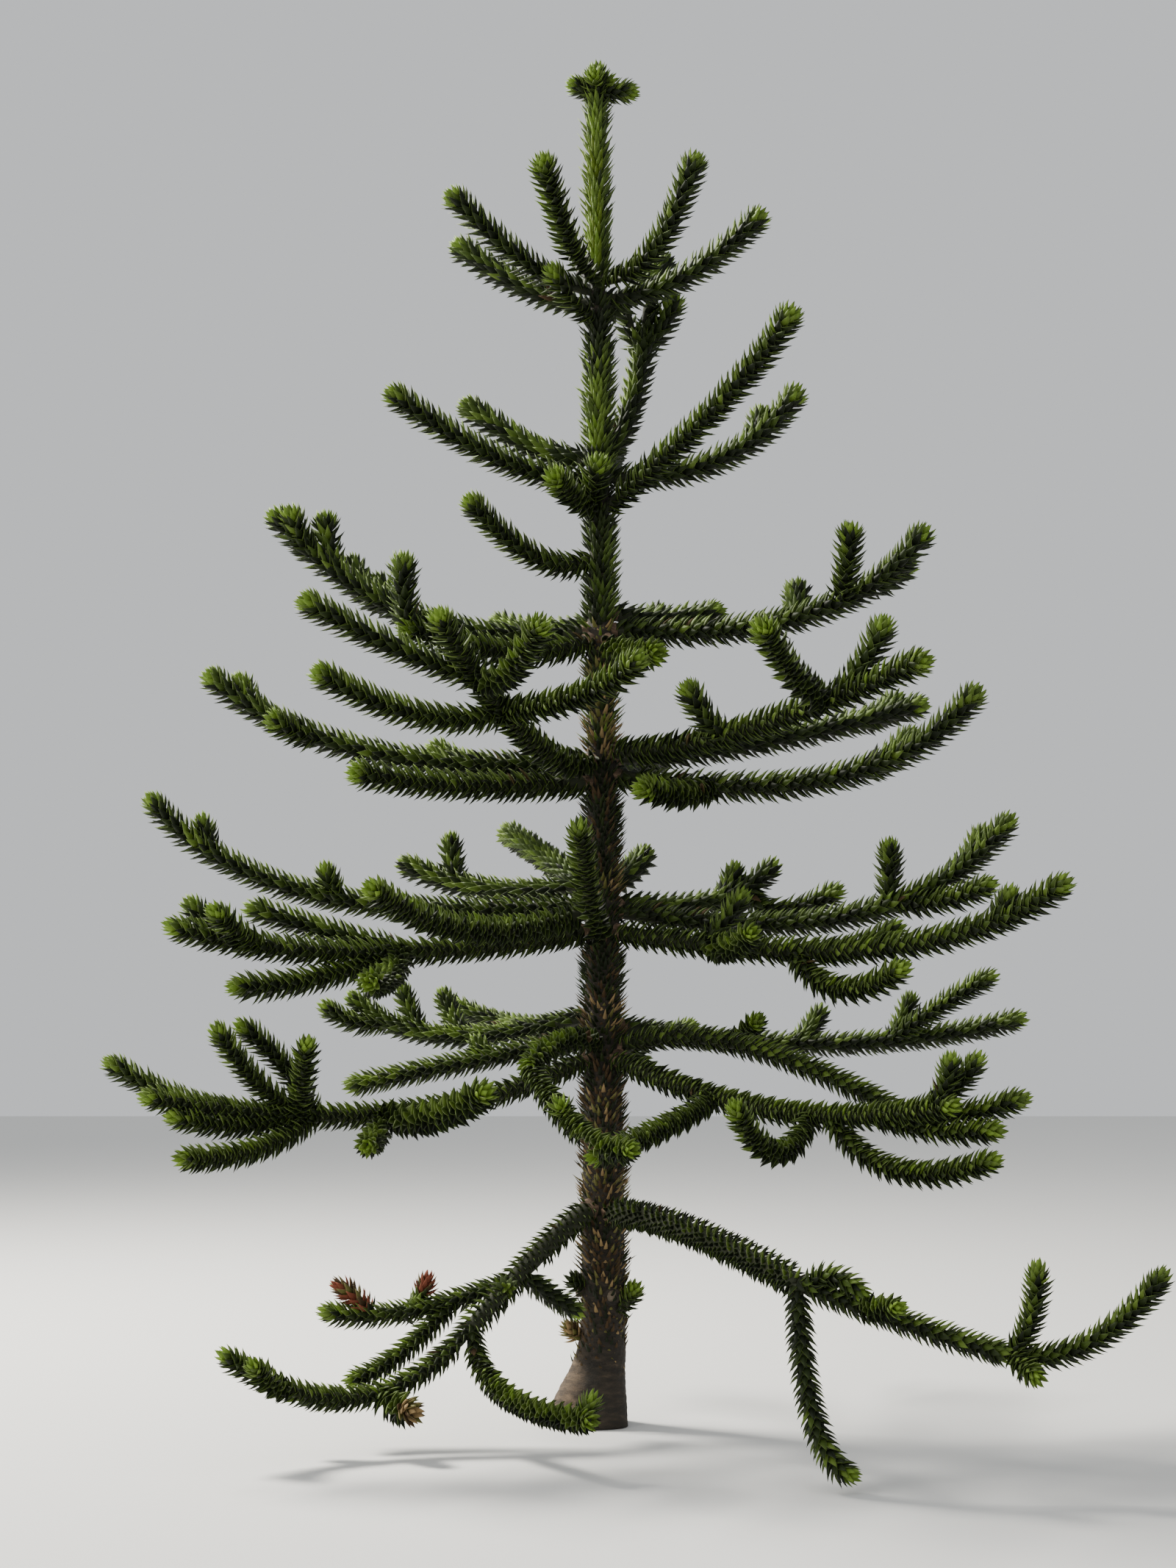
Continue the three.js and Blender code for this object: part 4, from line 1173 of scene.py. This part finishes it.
def ringed_cylinder(sides, length, rings):
    """A unit cylinder of that length, on the ground, with its long edges cut twice into rings."""
    obj = new_cylinder(sides, 1, length)
    for cuts in (FIRST_CUTS, max(1, round(rings / (FIRST_CUTS + 1)) - 1)):
        pick(obj, "EDGE", lambda a, b: abs(a.z - b.z) > length / (4 * FIRST_CUTS))
        bpy.ops.mesh.subdivide(number_cuts=cuts)
    bpy.ops.object.mode_set(mode="OBJECT")
    return obj


def level(turn):
    """Level directions at each angle round the trunk."""
    return np.stack([np.cos(turn), np.sin(turn), np.zeros(len(turn))], -1)


trunk = ringed_cylinder(TRUNK_SIDES, TRUNK_HEIGHT * MM, TRUNK_RINGS)
points = coordinates(trunk)
turn = np.arctan2(points[:, 1], points[:, 0])
z = points[:, 2]
skin = trunk_axis(z) + level(turn) * trunk_radius(z, np.degrees(turn))[:, None]
raised = relief(z, turn, skin) * np.clip(z / FOOT_RELIEF_FADE, FOOT_RELIEF_LEAST, 1)
move_vertices(trunk, skin + level(turn) * raised[:, None])
trunk.data.materials.append(trunk_bark)
bpy.ops.object.shade_smooth()
trunk = finish_mesh(trunk, "trunk_bark")
print("trunk triangles", triangles(trunk))


# %% [markdown]
# The two low limbs. They are thick enough for bark of their own, so each is the same ringed cylinder
# laid along its limb's curve and roughened by two sizes of wrinkles.

# %% Model the limbs
LIMB_SIDES = 32
LIMB_RING_STEP = 9 * MM


def limb_skin(name, stretch):
    length = stretch.arcs[-1]
    limb = ringed_cylinder(LIMB_SIDES, length, int(length / LIMB_RING_STEP))
    points = coordinates(limb)
    centre, _, out = around(stretch, points[:, 2], np.arctan2(points[:, 1], points[:, 0]))
    radius = stretch.thick + (stretch.thin - stretch.thick) * points[:, 2] / length
    skin = centre + out * radius[:, None]
    bumps = wrinkles(skin, 40, 40, 2.4 * MM) + wrinkles(skin, 110, 110, 1.2 * MM)
    move_vertices(limb, skin + out * bumps[:, None])
    # The limbs take the shoots' near-black bark, painted shade
    limb.data.materials.append(shoot_bark)
    bpy.ops.object.shade_smooth()
    return finish_mesh(limb, name)


limb_pieces = {name: limb_skin(name + "_bark", stretch) for name, stretch in limbs.items()}
print("limb triangles", [triangles(obj) for obj in limb_pieces.values()])


# %% [markdown]
# Leaves and stubs on the trunk. The leader is thick with long bright leaves. Lower down the leaves
# are old: some still stand out as dry spines, and of the rest only short broad feet are left. A foot
# is skipped where a bough's collar sits.

# %% Leaves on the trunk
TRUNK_LEAF_THICKNESS = 10 * MM
SCALE_THICKNESS = 6.5 * MM
TAN_BAND = (15, 140)
TAN_BAND_SHARE = 0.55
# Painted shade on the trunk's leaves: high in each stretch under the whorl above, and on the right side,
# turned away from the light
SHADED_TOP = 0.62
PAINTED_SHADE_SIDE = 0.3
# A stub's length and width beside a whole leaf's
STUB_LENGTH = 0.4
STUB_WIDTH = 1.25
SIZE_STRAY = 0.15
SPIRAL_STRAY = 0.04
DEGREES_STRAY = 6
LEAF_SINK = 5 * MM
# Leaves keep this far from a bough's seat, and thin out toward the trunk's bare foot
SEAT_POINTS = 12
TIP_TO_SEAT = 26 * MM
FOOT_TO_SEAT = 28 * MM
BARE_BELOW = 60 * MM
THIN_BELOW = 260 * MM
THINNING = 500 * MM
print("feet among the old scales", int((feet_z < SCALES_BELOW * MM).sum()), "of", len(feet_z))


# %% Grow the leaves on the trunk
def trunk_tones(zones, whole, out):
    """Tones by place: tan scars just above each whorl, painted shade under the whorl above, and darker tones
    painted as shade on the right side, turned away from the light.
    """
    tone = np.array([
        deal(1, zone.whole_tones if long_leaf else zone.stub_tones)[0]
        for zone, long_leaf in zip(zones, whole)])
    z = feet_z / MM
    floors = np.array((0, *WHORL_HEIGHTS))
    ceilings = np.array((*WHORL_HEIGHTS, 2 * TRUNK_HEIGHT))
    below = np.searchsorted(floors, z, side="right") - 1
    above_whorl = z - floors[below]
    share = above_whorl / (ceilings[below] - floors[below])
    scarred = (z < SCALES_BELOW) & (above_whorl > TAN_BAND[0]) & (above_whorl < TAN_BAND[1]) & (below > 0)
    scarred &= rng.uniform(0, 1, len(z)) < TAN_BAND_SHARE
    # Darker tones on the right side, turned away from the light, are painted shade
    turned = (z > SCALES_BELOW) & (out[:, 0] + rng.normal(0, 0.15, len(z)) > PAINTED_SHADE_SIDE)
    shaded = (z > SCALES_BELOW) & (share + rng.normal(0, 0.06, len(z)) > SHADED_TOP)
    for where, shares in ((scarred, TAN_TONES), (turned, BODY_TONES), (shaded, SHADE_TONES)):
        tone[where] = deal(int(where.sum()), shares)
    return tone


def trunk_copies():
    """The leaves and stubs that stand on the trunk itself, and the height of each one's foot."""
    count = len(feet_z)
    zones = [zone_at(z / MM) for z in feet_z]
    share, opening, length, width = (
        np.array([getattr(zone, field) for zone in zones], float)
        for field in ("whole", "opening", "length", "width"))
    whole = rng.uniform(0, 1, count) < share
    turn = feet_turn + rng.normal(0, SPIRAL_STRAY, count)
    out = level(turn)
    opening = np.radians(opening + rng.normal(0, DEGREES_STRAY, count))
    leaf_along, back = turned_by(opening, np.broadcast_to(np.array([0.0, 0.0, 1.0]), out.shape), out)
    length = vary(np.where(whole, length, length * STUB_LENGTH), SIZE_STRAY) * MM
    width = vary(np.where(whole, width, width * STUB_WIDTH), SIZE_STRAY) * MM
    thickness = np.where(feet_z < SCALES_BELOW * MM, SCALE_THICKNESS, TRUNK_LEAF_THICKNESS)
    foot = trunk_axis(feet_z) + out * (trunk_radius(feet_z, np.degrees(turn)) - LEAF_SINK)[:, None]
    tone = trunk_tones(zones, whole, out)
    copies = Copies(foot, np.cross(leaf_along, -back), -back, leaf_along, width, thickness, length, tone)
    seats = np.concatenate(
        [s.path[:SEAT_POINTS] for s in all_stems if s.order == 0 and s.owner != "crown_tuft"])
    clear = least_distance(tips_of(copies), seats) > TIP_TO_SEAT
    clear &= least_distance(foot, seats) > FOOT_TO_SEAT
    kept_low = rng.uniform(0, 1, count) < feet_z / THINNING
    keep = clear & ((feet_z > THIN_BELOW) | kept_low) & (feet_z > BARE_BELOW)
    return picked(copies, keep), feet_z[keep]


on_trunk, on_trunk_z = trunk_copies()
high = on_trunk_z > SCALES_BELOW * MM
trunk_leaves = joined_copies("trunk_leaves", leaf_template, picked(on_trunk, high), tone_materials)
trunk_scales = joined_copies("trunk_scales", leaf_template, picked(on_trunk, ~high), tone_materials)
print("trunk leaves", triangles(trunk_leaves), "old leaves and stubs", triangles(trunk_scales))


# %% [markdown]
# Collars. Where a bough leaves the trunk the bark swells round it and the leaves have dropped, which
# shows as a tan ring. One collar is modelled from a short cone: its sides are cut into rings, its
# outer end is inset and pushed in, and its skin is made uneven. It is then copied to every bough.

# %% Model the collar
COLLAR_SIDES = 20
COLLAR_FLARE = 1.12
COLLAR_END = 1.02
COLLAR_RIM = 0.16
COLLAR_HOLLOW = 0.12
COLLARS_BELOW = 3100
# The collar's rings and lobes: how high each stands, and how many there are
RING_SWELL = 0.07
RING_WAVES = 20
LOBE_SWELL = 0.05
LOBE_WAVES = 5


def model_collar():
    bpy.ops.mesh.primitive_cone_add(
        vertices=COLLAR_SIDES, radius1=COLLAR_FLARE, radius2=COLLAR_END, depth=1, location=(0, 0, 0.5))
    collar = bpy.context.object
    bpy.ops.object.transform_apply(location=True)
    pick(collar, "EDGE", lambda a, b: abs(a.z - b.z) > 0.5)
    bpy.ops.mesh.subdivide(number_cuts=5)
    pick(collar, "FACE", lambda centre, normal: normal.z > 0.9)
    bpy.ops.mesh.inset(thickness=COLLAR_RIM)
    extrude(0, 0, -COLLAR_HOLLOW)
    bpy.ops.object.mode_set(mode="OBJECT")
    points = coordinates(collar)
    turn = np.arctan2(points[:, 1], points[:, 0])
    bulge = 1 + RING_SWELL * np.sin(points[:, 2] * RING_WAVES) + LOBE_SWELL * np.sin(turn * LOBE_WAVES)
    points[:, :2] *= bulge[:, None]
    move_vertices(collar, points)
    return finish_mesh(collar, "collar_model")


collar_model = model_collar()
collared = [shoot for shoot in LIMBS + BOUGHS if shoot.seat < COLLARS_BELOW]
collar_along = np.array([direction(shoot.azimuth, shoot.pitch) for shoot in collared])
collar_side = np.array([direction(shoot.azimuth + 90, 0) for shoot in collared])
collar_seat = np.array([seat_on_trunk(shoot.seat, shoot.azimuth) for shoot in collared])
collar_size = np.array(
    [(LIMB_ROOT_RADIUS if shoot in LIMBS else root_radius(shoot)) * MM for shoot in collared])
collar_length = np.full(len(collared), (COLLAR_SINK + COLLAR_LENGTH) * MM)
collar_copies = Copies(
    collar_seat - collar_along * COLLAR_SINK * MM, collar_side, np.cross(collar_along, collar_side),
    collar_along, collar_size, collar_size, collar_length, np.zeros(len(collared), int))
collars = joined_copies("bough_collars", template_of(collar_model), collar_copies, [collar_bark])
bpy.data.objects.remove(collar_model)
print("collars", len(collared), "triangles", triangles(collars))


# %% [markdown]
# Saw marks. On the left a thick shoot was cut off and left a stub, and in front a flush cut has
# healed into a round scar with a raised lip. Both start as a short cylinder that is turned to face
# outward. The end is inset and pushed in for the old wood, and the rim is bevelled into a lip.

# %% Model the cut stub and the pruning scar
MARK_SIDES = 28
RIM_BEVEL = 3 * MM
SHAKE = 3 * MM
HEART_SHARE = 0.35


def saw_mark(name, mark, lip, depth):
    """A cut with a lip so wide, and old wood that lies so deep inside it, both in millimetres."""
    outward = direction(mark["azimuth"], 0)
    seat = seat_on_trunk(mark["height"], mark["azimuth"])
    length = (mark["radius"] + mark["length"]) * MM
    obj = new_cylinder(MARK_SIDES, mark["radius"] * MM, length, mark["length"] * MM - length)
    pick(obj, "EDGE", lambda a, b: abs(a.z - b.z) > length / 2)
    bpy.ops.mesh.subdivide(number_cuts=6)
    pick(obj, "FACE", lambda centre, normal: normal.z > 0.9)
    bpy.ops.mesh.bevel(offset=RIM_BEVEL, segments=3, affect="EDGES")
    pick(obj, "FACE", lambda centre, normal: normal.z > 0.99)
    bpy.ops.mesh.inset(thickness=lip * MM)
    extrude(0, 0, -depth * MM)
    bpy.ops.mesh.inset(thickness=mark["radius"] * HEART_SHARE * MM)
    bpy.ops.object.mode_set(mode="OBJECT")
    points = coordinates(obj)
    shake = wrinkles(points, 60, 60, SHAKE)
    points += points / np.linalg.norm(points, axis=1, keepdims=True).clip(1e-6) * shake[:, None]
    move_vertices(obj, points)
    obj.data.materials.append(trunk_bark)
    obj.data.materials.append(cut_wood)
    for face in obj.data.polygons:
        aside = math.hypot(face.center.x, face.center.y)
        face.material_index = int(face.normal.z > 0.8 and aside < (mark["radius"] - lip) * MM)
    obj.rotation_euler = Vector(outward).to_track_quat("Z", "Y").to_euler()
    obj.location = seat
    return finish_mesh(obj, name)


cut_stub = saw_mark("cut_stub", CUT_STUB, 5, 3)
pruning_scar = saw_mark("pruning_scar", PRUNING_SCAR, 10, 5)
print("saw marks", triangles(cut_stub), triangles(pruning_scar))


# %% [markdown]
# The studio. A pale floor under the tree, a pale surround, a broad soft light high on the left and
# behind, where the sun stood, and a weaker one in front so that the shaded side still reads.

# %% Floor
FLOOR_SIZE = 60
FLOOR_DROP = 2 * MM
bpy.ops.mesh.primitive_plane_add(size=FLOOR_SIZE, location=(0, 0, -FLOOR_DROP))
floor = bpy.context.object
floor.name = "floor"
floor_material = bpy.data.materials.new("pale_floor")
floor_material.use_nodes = True
floor_shader = floor_material.node_tree.nodes["Principled BSDF"]
floor_shader.inputs["Base Color"].default_value = (0.72, 0.72, 0.70, 1)
floor_shader.inputs["Roughness"].default_value = 0.9
floor.data.materials.append(floor_material)
print("floor", FLOOR_SIZE, "m across")


# %% Lights
def soft_light(name, place, target, size, power, colour):
    data = bpy.data.lights.new(name, "AREA")
    data.size = size
    data.energy = power
    data.color = colour
    lamp = place_in_scene(name, data)
    lamp.location = place
    lamp.rotation_euler = (Vector(target) - Vector(place)).to_track_quat("-Z", "Y").to_euler()


MIDDLE = (0, 0, 2.4)
soft_light("key", (-6.5, 3.6, 9.5), MIDDLE, 2.5, 3600, (1.0, 0.96, 0.88))
soft_light("fill", (-8, -7, 6), MIDDLE, 5, 420, (1.0, 0.98, 0.95))
world = bpy.data.worlds.new("pale_surround")
bpy.context.scene.world = world
world.use_nodes = True
world.node_tree.nodes["Background"].inputs["Color"].default_value = (0.9, 0.92, 0.94, 1)
world.node_tree.nodes["Background"].inputs["Strength"].default_value = 0.75
print("lights", len(bpy.data.lights))

# %% [markdown]
# Last, the solids that each piece stands for are hidden, and each piece rides on the tree's one
# body.

# %% Dress the frame
for key, group in owners.items():
    nodes = sorted({stretch.owner for stretch in group})
    for piece in (leaf_pieces[key], stem_pieces[key]):
        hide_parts(*nodes)
        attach(piece, "root")
for name, piece in limb_pieces.items():
    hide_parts(name)
for piece in (trunk, trunk_scales, trunk_leaves, collars, cut_stub, pruning_scar):
    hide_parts("trunk")
for piece in (trunk, trunk_scales, collars, cut_stub, pruning_scar, *limb_pieces.values()):
    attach(piece, "root")
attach(trunk_leaves, "root")

pieces = [*leaf_pieces.values(), *stem_pieces.values(), *limb_pieces.values(),
          trunk, trunk_scales, trunk_leaves, collars, cut_stub, pruning_scar]
print("pieces", len(pieces), "triangles", sum(triangles(piece) for piece in pieces))
